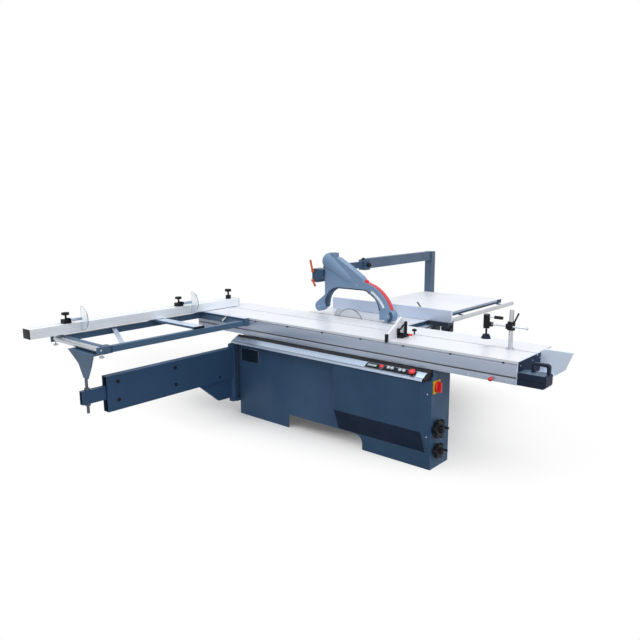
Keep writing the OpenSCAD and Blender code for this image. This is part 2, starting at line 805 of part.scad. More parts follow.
// Clamp lever of the outrigger on its inner beam
lever_x = outrigger_x + 60;
lever_z = frame_z[0] + 24;
module outrigger_lever() {
    face = outrigger_y1 - 42;
    color("silver") {
        rod_y(22, lever_x, [face - 16, face], lever_z);
        along_y([face - 16, face - 8]) capsule([lever_x, lever_z], [lever_x + 40, lever_z + 30], 7);
    }
}

// Crosscut fence: hollow extrusion with a top slot for the stops
module crosscut_fence() {
    wall = 4;
    lip = 22;
    side_groove = 8;
    x = about(fence_x, fence_w);
    z = [fence_z, fence_top];
    color("gainsboro") difference() {
        along_y([fence_y0, fence_y1]) difference() {
            rect(x, z);
            rect([x[0] + wall, fence_x - lip], [z[0] + wall, z[1] - wall]);
            rect([fence_x + lip, x[1] - wall * 2], [z[0] + wall, z[1] - wall]);
            rect(about(fence_x, 2 * lip - 2 * wall), [z[0] + wall, z[1] - 24]);
            rect(about(fence_x, stop_slot_w), [z[1] - 9, z[1] + cut]);
            rect(about(fence_x, stop_slot_w + 10), [z[1] - 18, z[1] - 8]);
            rect([x[1] - wall, x[1] + cut], about(z[0] + fence_h / 2, side_groove));
        }
        rod_z(pivot_d + 2 * fit, fence_x, -tslot_y, [z[0] - cut, z[1] + cut]);
    }
}

// Star knob over the fence's pivot
module pivot_knob() {
    z = fence_top + gap;
    hub_h = 34;
    color("#1f2530") translate([fence_x, -tslot_y, z]) difference() {
        union() {
            cylinder(d = 52, h = hub_h);
            translate([0, 0, hub_h]) cylinder(d = 18, h = 36);
            translate([0, 0, hub_h + 36]) lobed_knob(64, 24, 5);
        }
        translate([0, 0, -cut]) cylinder(d = pivot_d + 2 * fit, h = 22 + cut);
    }
}

// Stop block on the fence: foot in the slot, clamp knob, and an arm with the flap's pin
flap_t = 6;
flap_pin_d = 12;
flap_reach = 95;
module stop_block(y) {
    z = fence_top + gap;
    block_w = 58;
    block_h = 32;
    pin_z = flap_z;
    color("#1f2530") {
        slab(about(fence_x, block_w), about(y, 60), [z, z + block_h]);
        slab(about(fence_x, stop_slot_w - 2), about(y, 50), [fence_top - 10, z + cut]);
        slab(about(fence_x, stop_slot_w + 8), about(y, 50), [fence_top - 17, fence_top - 9]);
        rod_z(16, fence_x, y, [z + block_h - cut, z + block_h + 40]);
        translate([fence_x, y, z + block_h + 34]) lobed_knob(62, 20, 5);
        slab([fence_x, flap_x + 10], [y + 8, y + 25], about(pin_z, 19));
        slab([flap_x - 11, flap_x + 11], [y + 6, y + flap_reach - 1], about(pin_z, 22));
        rod_y(flap_pin_d, flap_x, [y + flap_reach - 2, y + flap_reach + flap_t + 3], pin_z);
    }
}
module outer_stop() stop_block(outer_stop_y);
module inner_stop() stop_block(inner_stop_y);

// Half round clear flap that swings on the stop's pin
module flap(y) {
    boss = 24;
    color("lightcyan", 0.5) along_y([y + flap_reach, y + flap_reach + flap_t]) translate([flap_x,
        flap_z]) difference() {
        union() {
            intersection() {
                circle(flap_r);
                rect([0, flap_r], [-flap_r, flap_r]);
            }
            circle(d = boss);
        }
        circle(d = flap_pin_d + 2 * fit);
    }
}
module outer_flap() flap(outer_stop_y);
module inner_flap() flap(inner_stop_y);

// Swinging support arm: hinge sleeve, open box, gusset, and guide rollers on their bolts
module swing_arm() {
    wall = 5;
    sleeve_d = hinge_d + 36;
    sleeve_z = [sleeve_low, arm_z[1]];
    hinge_fit = 0.09;
    gusset = arm_z[0] - sleeve_low - 9;
    guide_r = 20;
    x = about(arm_x, arm_w);
    color("slategray") difference() {
        union() {
            rod_z(sleeve_d, arm_x, arm_y, sleeve_z);
            difference() {
                slab(x, [arm_end, arm_y - hinge_d / 2], arm_z);
                slab([x[0] + wall, x[1] - wall], [arm_end - cut, arm_y - sleeve_d / 2 - 12],
                    [arm_z[0] + wall, arm_z[1] - wall]);
            }
            along_x(about(arm_x, 30)) polygon([[arm_y, arm_z[0] + cut], [arm_y - 400, arm_z[0] + cut],
                [arm_y - 185, arm_z[0] - gusset + 5], [arm_y, arm_z[0] - gusset]]);
            for (y = [arm_end + 95, arm_end + 628]) for (side = [-1, 1])
                rod_x(2 * guide_r, [x[0] - 4, x[1] + 4], y,
                    slider_z + side * (slider_h / 2 + gap + guide_r));
        }
        rod_z(hinge_d + 2 * hinge_fit, arm_x, arm_y, [sleeve_z[0] - cut, sleeve_z[1] + cut]);
        rod_x(24, [arm_x - arm_w, arm_x + arm_w], arm_y - 180, arm_z[0] + 40);
    }
}

// Telescopic tube inside the arm
module arm_tube() {
    wall = 5;
    y = [slider_end, arm_y - 90];
    color("slategray") difference() {
        slab(about(arm_x, slider_w), y, about(slider_z, slider_h));
        slab(about(arm_x, slider_w - 2 * wall), [y[0] - cut, y[1] + cut], about(slider_z,
            slider_h - 2 * wall));
        rod_z(support_d + 2 * fit, arm_x, support_y, about(slider_z, slider_h + 2 * cut));
    }
}

// Rod through the tube's end, with a collar above and below
module support_rod() {
    collar_d = support_d + 18;
    collar_h = 15;
    color("dimgray") {
        rod_z(support_d, arm_x, support_y, [slider_z - 126, support_top]);
        for (z = [slider_z + slider_h / 2 + gap, slider_z - slider_h / 2 - gap - collar_h])
            rod_z(collar_d, arm_x, support_y, [z, z + collar_h]);
    }
}

// Tilting frame: two cheeks with trunnion segments, a cradle beam and the lift's guide rods
module tilt_frame() {
    cheek_y = [-20, 110];
    lug_z = [arbor_z - 34, arbor_z - 16];
    color("dimgray") translate([blade_x, 0, 0]) {
        for (side = [-1, 1]) mirror([side < 0 ? 1 : 0, 0, 0]) {
            along_x(about(cheek_x, cheek_t)) {
                rect(cheek_y, [cradle_z, table_h - trunnion_r[0] - 6]);
                sector([0, table_h], trunnion_r[0], trunnion_r[1], 240, 330);
            }
            along_x([cheek_x + cheek_t / 2 - cut, cheek_x + cheek_t * 1.5])
                sector([0, table_h], trunnion_r[0], trunnion_r[1], 240, 330);
            rod_z(guide_d, rod_span, rod_y0, [cradle_z + 20, lug_z[0] - 40]);
            slab([rod_span - 20, cheek_x], about(rod_y0, 44), [lug_z[0] - 50, lug_z[1] - 50]);
        }
        slab([-cheek_x, cheek_x], [rod_y0 - 30, rod_y0 + 30], [cradle_z, cradle_z + 25]);
    }
}

// Lift carriage on the guide rods: plate, arbor and scoring housings, motor bracket, knife clamp
guide_block_z = [arbor_z - 164, arbor_z - 69 - 20];
module lift_carriage() {
    block_w = 2 * (cheek_x - cheek_t / 2 - 1 - rod_span);
    arm_t = 12;
    arm_z0 = motor_z - motor_d / 2;
    arm_off = motor_d / 2 + 22;
    color("darkgray") difference() {
        union() {
            slab([blade_x - rod_span, max(scoring_x + 40, blade_x + rod_span)], plate_y,
                [guide_block_z[0], arbor_z + 20]);
            for (side = [-1, 1]) slab(about(blade_x + side * rod_span, block_w), [plate_y[0],
                rod_y0 + 28], guide_block_z);
            rod_y(hub_d, blade_x, [plate_y[0], pulley_y[0] - 4], arbor_z);
            rod_y(56, scoring_x, [plate_y[0], 80], scoring_z);
            for (side = [-1, 1]) slab(about(blade_x + side * arm_off, arm_t), [plate_y[0], motor_face],
                [arm_z0, motor_z + motor_d / 2]);
            slab([blade_x - arm_off, blade_x + arm_off], [motor_face - 10, motor_face], [arm_z0,
                motor_z + motor_d / 2]);
            slab([blade_x - blade_d / 2 - 60, blade_x - blade_d / 2 - 8], [knife_t / 2, plate_y[0] + cut],
                [arbor_z - 60, arbor_z + 6]);
        }
        rod_y(arbor_d + 2 * fit, blade_x, [plate_y[0] - cut, pulley_y[0]], arbor_z);
        rod_y(scoring_shaft_d + 2 * fit, scoring_x, [plate_y[0] - cut, 80 + cut], scoring_z);
        rod_y(70, blade_x, [motor_face - 10 - cut, motor_face + cut], motor_z);
        for (side = [-1, 1]) rod_z(guide_d + 2 * fit, blade_x + side * rod_span, rod_y0,
            [guide_block_z[0] - cut, guide_block_z[1] + cut]);
    }
}
knife_t = 2.8;
scoring_shaft_d = 20;
scoring_teeth = 24;

// Main arbor: nut, flanges, shaft and grooved pulley
module arbor() {
    groove_n = 3;
    color("gray") difference() {
        union() {
            translate([blade_x, -30, arbor_z]) rotate([-90, 0, 0]) cylinder(d = 34, h = 19, $fn = 6);
            rod_y(76, blade_x, [-12, -blade_t / 2], arbor_z);
            rod_y(bore_d - 0.2, blade_x, [-12, blade_t / 2 + cut], arbor_z);
            rod_y(100, blade_x, [blade_t / 2, 14], arbor_z);
            rod_y(arbor_d, blade_x, [14 - cut, pulley_y[1]], arbor_z);
            rod_y(2 * arbor_pulley_r, blade_x, pulley_y, arbor_z);
        }
        for (i = [0:groove_n - 1]) pulley_groove(arbor_pulley_r, arbor_z, i, groove_n);
    }
}

// Ring cut into a belt pulley
module pulley_groove(r, z, i, n) {
    pitch = (pulley_y[1] - pulley_y[0]) / (n + 1);
    depth = 2;
    y = pulley_y[0] + (i + 1) * pitch;
    difference() {
        rod_y(2 * r + 2, blade_x, about(y, pitch / 2), z);
        rod_y(2 * (r - depth), blade_x, about(y, pitch / 2 + 2), z);
    }
}

// Toothed saw disc with a bore
module toothed_disc(d, t, teeth, bore) {
    gullet = d * 0.022;
    linear_extrude(t, center = true) difference() {
        polygon([for (i = [0:teeth - 1]) each [
            (d / 2) * [cos(i * 360 / teeth), sin(i * 360 / teeth)],
            (d / 2 - gullet) * [cos((i + 0.25) * 360 / teeth), sin((i + 0.25) * 360 / teeth)]]]);
        circle(d = bore);
    }
}
module saw_blade() {
    color("lightgray") translate([blade_x, 0, arbor_z]) rotate([90, 0, 0]) toothed_disc(blade_d,
        blade_t, blade_teeth, bore_d);
}

// Motor with feet flange, finned barrel and fan cover
module motor() {
    fins = 24;
    y = [motor_face, motor_face + motor_l];
    color("steelblue") {
        rod_y(motor_d - 12, blade_x, y, motor_z);
        rod_y(motor_d, blade_x, [y[0], y[0] + 14], motor_z);
        rod_y(motor_d - 2, blade_x, [y[1] - 50, y[1]], motor_z);
        for (i = [0:fins - 1]) translate([blade_x, y[0] + 14 - cut, motor_z]) rotate([0, i * 360 / fins, 0])
            translate([-1.5, 0, motor_d / 2 - 8]) cube([3, motor_l - 64 + 2 * cut, 7]);
    }
}

// Motor pulley on its shaft
module motor_pulley() {
    color("gray") difference() {
        union() {
            rod_y(2 * motor_pulley_r, blade_x, pulley_y, motor_z);
            rod_y(24, blade_x, [pulley_y[1] - cut, motor_face - gap], motor_z);
        }
        for (i = [0:2]) pulley_groove(motor_pulley_r, motor_z, i, 3);
    }
}

// Ribbed belt round both pulleys
module drive_belt() {
    t = 5;
    color("#202020") along_y([pulley_y[0] + 1, pulley_y[1] - 1]) difference() {
        hull() {
            translate([blade_x, arbor_z]) circle(arbor_pulley_r + gap + t);
            translate([blade_x, motor_z]) circle(motor_pulley_r + gap + t);
        }
        hull() {
            translate([blade_x, arbor_z]) circle(arbor_pulley_r + gap);
            translate([blade_x, motor_z]) circle(motor_pulley_r + gap);
        }
    }
}

// Riving knife behind the blade, following its rim
module riving_knife() {
    clear = 5;
    width = 46;
    r = blade_d / 2 + clear;
    color("lightgray") along_y(about(0, knife_t)) difference() {
        intersection() {
            translate([blade_x, arbor_z]) circle(r + width);
            rect([blade_x - r - width, blade_x - 80], [arbor_z - 56, table_h + blade_rise - 12]);
        }
        translate([blade_x, arbor_z]) circle(r);
    }
}

// Scoring blade on its spindle
module scoring_blade() {
    color("lightgray") {
        translate([scoring_x, 0, scoring_z]) rotate([90, 0, 0]) 
            toothed_disc(scoring_d, blade_t, scoring_teeth, scoring_shaft_d / 2);
        difference() {
            union() {
                rod_y(scoring_shaft_d, scoring_x, [blade_t / 2, 92], scoring_z);
                rod_y(scoring_shaft_d - 2, scoring_x, [-blade_t / 2, blade_t / 2 + cut], scoring_z);
                rod_y(44, scoring_x, [blade_t / 2, 12], scoring_z);
                rod_y(44, scoring_x, [-9, -blade_t / 2], scoring_z);
            }
        }
    }
}

// Lobed handwheel on the cabinet's operator end, with its shaft and crank peg
module handwheel(d, z, shaft) {
    rim = 26;
    hub = 22;
    face = cab_end + 18;
    color("#1f2530") {
        translate([face, wheel_y, z]) rotate([0, 90, 0]) {
            lobed_knob(d, rim, 6);
            cylinder(d1 = d * 0.45, d2 = d * 0.32, h = rim + hub);
        }
        rod_x(d * 0.5, [cab_end + gap, face + cut], wheel_y, z);
    }
    color("silver") {
        rod_x(wheel_shaft_d, [cab_end - shaft, cab_end + 10], wheel_y, z);
        rod_x(16, [face + rim - cut, face + rim + 34], wheel_y + d * 0.33, z);
    }
}
module lift_handwheel() handwheel(lift_wheel_d, lift_wheel_z, 180);
module tilt_handwheel() handwheel(tilt_wheel_d, tilt_wheel_z, 140);

// Telescopic guard arm with the knuckle that carries the hood
module guard_arm() {
    knuckle_y = [-60, 50];
    wall = 4;
    color("slategray") difference() {
        union() {
            slab(about(boom_x, inner_arm_w), [knuckle_y[1] - cut, boom_y0 + 660], about(arm_mid_z,
                inner_arm_h));
            along_y(knuckle_y) polygon([[knuckle_x[0], knuckle_z[0]], [knuckle_x[1] - 60, knuckle_z[0]],
                [knuckle_x[1] - 45, knuckle_z[0] + 30], [knuckle_x[1], knuckle_z[0] + 55],
                [knuckle_x[1], knuckle_z[1]], [knuckle_x[0], knuckle_z[1]]]);
        }
        slab(about(boom_x, inner_arm_w - 2 * wall), [knuckle_y[1] + 20, boom_y0 + 660 + cut],
            about(arm_mid_z, inner_arm_h - 2 * wall));
    }
}

hood_back = knuckle_x[1] + gap - blade_x;

// Opening under the guard hood, widened by grow, in X from the blade and Z from the table
module hood_arch(grow) {
    translate([-100, 100]) circle(157 + grow);
    translate([150, 70]) circle(190 + grow);
    rect([-100, 150], [-60, 256 + grow]);
    rect([-257 - grow, 340 + grow], [-60, 100]);
}

// Side outline of the guard hood, shrunk by inset
module hood_side(inset) {
    difference() {
        union() {
            polygon(concat([[hood_back + inset, 150], [hood_back + inset, 470 - inset], [-200, 530 - inset],
                [-129 - inset / 3, 526 - inset], [-9 - inset / 2, 463 - inset], [137 - inset / 2,
                    372 - inset]],
                arc([118, -20], 352 - inset, 80, 14), [[360 + inset, 19 + inset]]));
            polygon(bar([-225, 160], [-335, 74], 46 - inset));
            translate([425, 60]) circle(52 - inset);
        }
        hood_arch(inset);
    }
}

// Moulded guard hood: hollow shell over the blade with a shoulder duct and a dust port
module guard_hood() {
    wall = 6;
    port_x = -180;
    port_z = [480, 566];
    duct_a = [-225, 490];
    duct_b = [10, 345];
    duct_r = [76, 46];
    run = duct_b - duct_a;
    lean = asin((duct_r[0] - duct_r[1]) / norm(run));
    color("steelblue") translate([blade_x, 0, table_h]) difference() {
        union() {
            along_y(about(0, hood_t)) hood_side(0);
            translate([duct_a[0], 0, duct_a[1]]) rotate([0, 90 - atan2(run[1], run[0]), 0]) rotate_extrude()
                polygon(concat(arc([0, 0], duct_r[0], -90, lean, 8), arc([0, norm(run)], duct_r[1],
                    lean, 90, 8)));
            rod_z(port_d, port_x, 0, port_z);
        }
        along_y(about(0, hood_t - 2 * wall)) {
            hood_side(wall);
            hood_arch(wall * 3);
        }
        rod_z(port_d - 2 * wall, port_x, 0, [port_z[0] - 60, port_z[1] + cut]);
    }
}

// Clamp levers on the knuckle's near side
lever_hub = [knuckle_x[0] + 16, -60];
module lock_lever(z, tip) {
    color("orangered") {
        rod_y(26, lever_hub[0], [lever_hub[1] - 18, lever_hub[1] - gap], z);
        along_y([lever_hub[1] - 18, lever_hub[1] - 8]) 
            capsule([lever_hub[0], z], [lever_hub[0], z] + tip, 8);
    }
}
lever_up_z = knuckle_z[1] - 16;
lever_low_z = knuckle_z[0] + 16;
module lock_lever_upper() lock_lever(lever_up_z, [-24, 96]);
module lock_lever_lower() lock_lever(lever_low_z, [30, -48]);

// Rip fence carrier on the round rail, open towards the rail's studs
holder_y = [rip_y - 12, rip_y + 90];
module rip_holder() {
    stud_slot = 26;
    color("dimgray") difference() {
        union() {
            slab(holder_x, holder_y, [rip_rail_z - 38, rip_z]);
            rod_y(40, holder_x[1] - 30, [holder_y[0] - 26, holder_y[0]], rip_rail_z + 6);
        }
        rod_y(rip_rail_d + 2 * fit, rip_rail_x, [holder_y[0] - cut, holder_y[1] + cut], rip_rail_z);
        slab([holder_x[0] - cut, rip_rail_x], [holder_y[0] - cut, holder_y[1] + cut], about(rip_rail_z,
            stud_slot));
        slab([holder_x[0] + 70, holder_x[1] - 60], [holder_y[0] - cut, holder_y[1] + cut],
            [rip_rail_z - 38 - cut, rip_rail_z + 14]);
    }
}

// Rip fence plate, a hollow extrusion lying along the cut
rip_nose = table_nose + 222;
module rip_fence() {
    wall = 4;
    z = [rip_z, rip_z + rip_h];
    y = [rip_y, rip_y + rip_t];
    color("lightsteelblue") along_x([rip_nose - rip_l, rip_nose]) difference() {
        rect(y, z);
        rect([y[0] + wall, y[1] - wall], [z[0] + wall, z[0] + rip_h / 2 - wall]);
        rect([y[0] + wall, y[1] - wall], [z[0] + rip_h / 2 + wall, z[1] - wall]);
        rect([y[1] - wall - 4, y[1] + cut], about(z[0] + rip_h / 2, 7));
    }
}

// Clamp lever of the rip fence carrier
rip_lever_y = holder_y[1] - 40;
rip_lever_z = rip_rail_z + 8;
module rip_lever() {
    color("#1f2530") {
        rod_x(24, [holder_x[1], holder_x[1] + 14], rip_lever_y, rip_lever_z);
        along_x([holder_x[1] + 2, holder_x[1] + 14]) capsule([rip_lever_y, rip_lever_z],
            [rip_lever_y - 50, rip_lever_z - 26], 8);
    }
}

// Edging shoe: sloped plate across the carriage with its clamp foot and grip
shoe_t = 14;
shoe_base = [carriage_near + 120, carriage_near + 230];
module edging_shoe() {
    y = carriage_near;
    upright_t = 10;
    color("silver") along_x([shoe_x, shoe_x + shoe_t]) polygon([
        [y + 8, table_h + gap], [y + 8, table_h + 44], [y + 190, table_h + 152], [y + 222,
            table_h + 146], [y + 222, table_h + gap]]);
    color("#1f2530") {
        slab([shoe_x - 2, shoe_x + shoe_t + 2], [y - 12, y - gap], [table_h - 14, table_h + 46]);
        slab([shoe_x - 2, shoe_x + shoe_t + 2], [y - gap - cut, y + 8], [table_h + gap, table_h + 46]);
        slab([shoe_x + shoe_t, shoe_x + shoe_t + 44], shoe_base, [table_h + gap, table_h + 20]);
        slab([shoe_x + shoe_t, shoe_x + shoe_t + upright_t], [shoe_base[0] + 20, shoe_base[1] - 10],
            [table_h + 19, table_h + 96]);
        rod_z(22, shoe_x + shoe_t + 28, shoe_base[1] - 30, [table_h + 19, table_h + 118]);
    }
}

// Quick lever of the edging shoe
shoe_pivot = [shoe_x + shoe_t + 26, shoe_base[0] + 24];
module shoe_lever() {
    z = table_h + 20 + gap;
    color("#1f2530") {
        rod_z(26, shoe_pivot[0], shoe_pivot[1], [z, z + 18]);
        translate([0, 0, z + 6]) linear_extrude(10) capsule(shoe_pivot, shoe_pivot + [70, 10], 7);
    }
}

// Clamp column standing in the carriage's T slot
module clamp_column() {
    color("gainsboro") {
        rod_z(column_d, column_x, -tslot_y, [table_h + 8, table_h + column_h]);
        rod_z(column_d + 25, column_x, -tslot_y, [table_h + gap, table_h + 9]);
        rod_z(tslot_w - 2, column_x, -tslot_y, [table_h - 12, table_h + 1]);
        rod_z(tslot_w + 8, column_x, -tslot_y, [table_h - 21, table_h - 11.5]);
    }
}

// Sleeve that slides on the column, with the cross bore for the rod and its lever
module clamp_sleeve() {
    h = 58;
    rod_off = column_d / 2 + clamp_rod_d / 2 + 6;
    color("#1f2530") difference() {
        union() {
            rod_z(column_d + 22, column_x, -tslot_y, about(sleeve_z, h));
            slab(about(column_x, 44), [-tslot_y - rod_off - 16, -tslot_y], about(sleeve_z, 36));
            translate([column_x, -tslot_y, sleeve_z + h / 2]) rotate([0, 24, 0]) {
                translate([column_d / 2 + 4, 0, -6]) cylinder(d = 12, h = 84);
            }
        }
        rod_z(column_d + 2 * fit, column_x, -tslot_y, about(sleeve_z, h + 160));
        rod_x(clamp_rod_d + 2 * fit, about(column_x, 60), -tslot_y - rod_off, sleeve_z);
    }
}

// Cross rod with its end stop and the screw head
clamp_rod_y = -tslot_y - column_d / 2 - clamp_rod_d / 2 - 6;
module clamp_rod() {
    spindle_bore = 14;
    color("silver") rod_x(clamp_rod_d, [clamp_head_x + 20, column_x + 120], clamp_rod_y, sleeve_z);
    color("silver") rod_x(clamp_rod_d + 10, [column_x + 120, column_x + 128], clamp_rod_y, sleeve_z);
    color("#1f2530") difference() {
        union() {
            rod_z(44, clamp_head_x, clamp_rod_y, [sleeve_z - 32, sleeve_z + 68]);
            rod_x(34, [clamp_head_x, clamp_head_x + 46], clamp_rod_y, sleeve_z);
            rod_x(10, [clamp_head_x, clamp_head_x + 62], clamp_rod_y, sleeve_z + 52);
            rod_x(22, [clamp_head_x + 58, clamp_head_x + 118], clamp_rod_y, sleeve_z + 52);
        }
        rod_z(spindle_bore + 2 * fit, clamp_head_x, clamp_rod_y, [sleeve_z - 32 - cut, sleeve_z + 50]);
    }
}

// Spindle with the rubber foot
module clamp_spindle() {
    foot_z = table_h + 58;
    color("#303030") {
        rod_z(14, clamp_head_x, clamp_rod_y, [foot_z + 20, sleeve_z + 46]);
        translate([clamp_head_x, clamp_rod_y, foot_z]) cylinder(d1 = 70, d2 = 44, h = 30);
    }
}

// Rotary main switch on the cabinet's operator end
module main_switch() {
    base = 12;
    disc_d = 78;
    color("red") {
        rod_x(switch_stem_d, [cab_end - 20, cab_end + base + cut], switch_y, switch_z);
        rod_x(disc_d, [cab_end + base, cab_end + base + 16], switch_y, switch_z);
        slab([cab_end + base + 15, cab_end + base + 34], about(switch_y, 16), about(switch_z, disc_d - 6));
    }
}

// Mushroom buttons and rockers on the panel
module push_button(x, d, h) {
    color("red") on_console(x, button_s) {
        translate([0, 0, 0.5]) cylinder(d = button_stem_d, h = panel_t + 6);
        translate([0, 0, panel_t + 6]) cylinder(d = d, h = h - 4);
        translate([0, 0, panel_t + 2 + h]) cylinder(d1 = d, d2 = d - 8, h = 4);
    }
}
module emergency_stop() push_button(estop_x, 40, 16);
module stop_button() push_button(stop_x, 26, 8);

// White rocker with two raised keys
module rocker(x) {
    key = 22;
    tip_room = 1;
    color("white") on_console(x, button_s) {
        slab(about(0, rocker_l - 2 * tip_room), about(0, rocker_w - 2 * gap), [0.5, panel_t + 4]);
        for (side = [-1, 1]) translate([side * (rocker_l / 2 - key / 2 - 4), 0, panel_t + 3])
            cylinder(d = key, h = 5);
        rod_y(rocker_pin_d, 0, about(0, rocker_w + 3), panel_t / 2);
    }
}
module rocker_left() rocker(rocker_x[0]);
module rocker_right() rocker(rocker_x[1]);

front_cabinet();
rear_base();
front_cover();
console_strip();
control_panel();
base_rail();
fixed_table();
extension_table();
rip_rail();
guard_post();
hinge_post();
trunnion_shoes();
carriage();
end_tray();
bumper();
pull_handle();
table_lock_knob();
roller_cage();
outrigger_frame();
outrigger_roller();
cross_support();
outrigger_lever();
crosscut_fence();
pivot_knob();
outer_stop();
outer_flap();
inner_stop();
inner_flap();
swing_arm();
arm_tube();
support_rod();
tilt_frame();
lift_carriage();
arbor();
saw_blade();
motor();
motor_pulley();
drive_belt();
riving_knife();
scoring_blade();
lift_handwheel();
tilt_handwheel();
guard_arm();
guard_hood();
lock_lever_upper();
lock_lever_lower();
rip_holder();
rip_fence();
rip_lever();
edging_shoe();
shoe_lever();
clamp_column();
clamp_sleeve();
clamp_rod();
clamp_spindle();
main_switch();
emergency_stop();
stop_button();
rocker_left();
rocker_right();
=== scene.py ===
"""Finishes and small fittings of a sliding table saw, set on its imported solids."""

import logging
import math
from dataclasses import dataclass
from enum import Enum
from functools import cache
from typing import ClassVar, Sequence

import bmesh
import bpy
from mathutils import Matrix, Vector


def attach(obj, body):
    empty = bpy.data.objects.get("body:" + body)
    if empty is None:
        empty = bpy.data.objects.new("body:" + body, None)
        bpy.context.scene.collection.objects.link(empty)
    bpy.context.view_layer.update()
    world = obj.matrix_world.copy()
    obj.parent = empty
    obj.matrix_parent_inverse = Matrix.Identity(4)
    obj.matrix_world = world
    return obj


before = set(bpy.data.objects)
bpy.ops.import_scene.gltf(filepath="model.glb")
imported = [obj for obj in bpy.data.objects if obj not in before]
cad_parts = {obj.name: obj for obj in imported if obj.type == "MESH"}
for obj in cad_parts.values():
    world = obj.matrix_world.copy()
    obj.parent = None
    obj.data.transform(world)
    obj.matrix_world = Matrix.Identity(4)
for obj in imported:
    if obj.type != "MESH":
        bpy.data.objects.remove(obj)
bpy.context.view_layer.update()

LOG = logging.getLogger("sliding_table_saw")
Point = tuple[float, float, float]
Flat = tuple[float, float]
Block = tuple[Point, Point]
Colour = tuple[float, float, float, float]
Ring = list[bmesh.types.BMVert]
Socket = bpy.types.NodeSocket
X_AXIS, Y_AXIS, Z_AXIS = (1, 0, 0), (0, 1, 0), (0, 0, 1)
WHITE_LIGHT: Colour = (1, 1, 1, 1)
ALONG = ("Along X", "Along Y", "Along Z")
PATCH_SHARE, ROUGH_SPREAD, RELIEF = 0.8, 0.18, 0.35
SHARP_ANGLE = 32
SUNK = 0.001
SCREW_HEAD = ((0.2, None), (1, None), (1, 0.28), (0.86, 0.5), (0.45, 0.62), (0.42, 0.35), (0.05, 0.35))
WASHER = ((0.2, None), (1.35, None), (1.35, 0.18), (0.2, 0.2))
BOLT_HEAD = ((0.2, 0.1), (1, 0.1), (1, 0.75), (0.82, 0.85), (0.1, 0.88))


def srgb(code: str) -> Colour:
    """Linear red, green, blue and alpha of six hex digits with a leading hash."""
    parts = [int(code[i:i + 2], 16) / 255 for i in (1, 3, 5)]
    return *(c / 12.92 if c <= 0.04045 else ((c + 0.055) / 1.055) ** 2.4 for c in parts), 1.0


class Graph:
    """A node tree with short calls for adding and joining nodes."""

    def __init__(self, tree: bpy.types.NodeTree) -> None:
        """Keeps the tree and empties it."""
        self.tree = tree
        tree.nodes.clear()

    def node(self, kind: str, given: dict[int | str, object] | None = None, **settings: object) -> bpy.types.Node:
        """Adds a node.

        Args:
            kind: Blender's type name.
            given: Values or sockets for its inputs, by their name or index.
            settings: Attributes to set on it.

        Returns:
            The node.
        """
        made = self.tree.nodes.new(kind)
        for key, value in settings.items():
            setattr(made, key, value)
        for key, source in (given or {}).items():
            self.put(source, made.inputs[key])
        return made

    def put(self, source: object, socket: Socket) -> None:
        """Links a socket to an input, or sets a plain value on it."""
        if isinstance(source, Socket):
            self.tree.links.new(source, socket)
        else:
            socket.default_value = source

    def math(self, operation: str, a: object, b: object = 0.0, clamp: bool = False) -> Socket:
        """Adds a Math node on two values or sockets; clamp keeps its result in 0 to 1."""
        return self.node("ShaderNodeMath", {0: a, 1: b}, operation=operation, use_clamp=clamp).outputs[0]

    def mix(self, share: object, a: object, b: object) -> Socket:
        """Mixes two colours, with a share of b."""
        return self.node("ShaderNodeMix", {0: share, 6: a, 7: b}, data_type="RGBA").outputs[2]

    def spread(self, value: Socket, low: float, high: float, source: Flat = (0.3, 0.7)) -> Socket:
        """Maps a value from a source range to low and high, clamped."""
        return self.node("ShaderNodeMapRange", dict(enumerate((value, *source, low, high)))).outputs[0]

    def noise(self, where: Socket, scale: object, detail: float) -> Socket:
        """Adds a noise texture with so many octaves of detail."""
        return self.node("ShaderNodeTexNoise", {"Detail": detail, "Vector": where, "Scale": scale}).outputs[0]

    def here(self) -> Socket:
        """The place in the machine's frame."""
        return self.node("ShaderNodeTexCoord").outputs["Object"]


class Effect(Enum):
    """Surface effects that several finishes share, each one a node group."""

    EDGE_WEAR = "Edge wear"
    MOTTLE = "Mottle"
    BRUSHED = "Brushed grain"
    PEEL = "Orange peel"


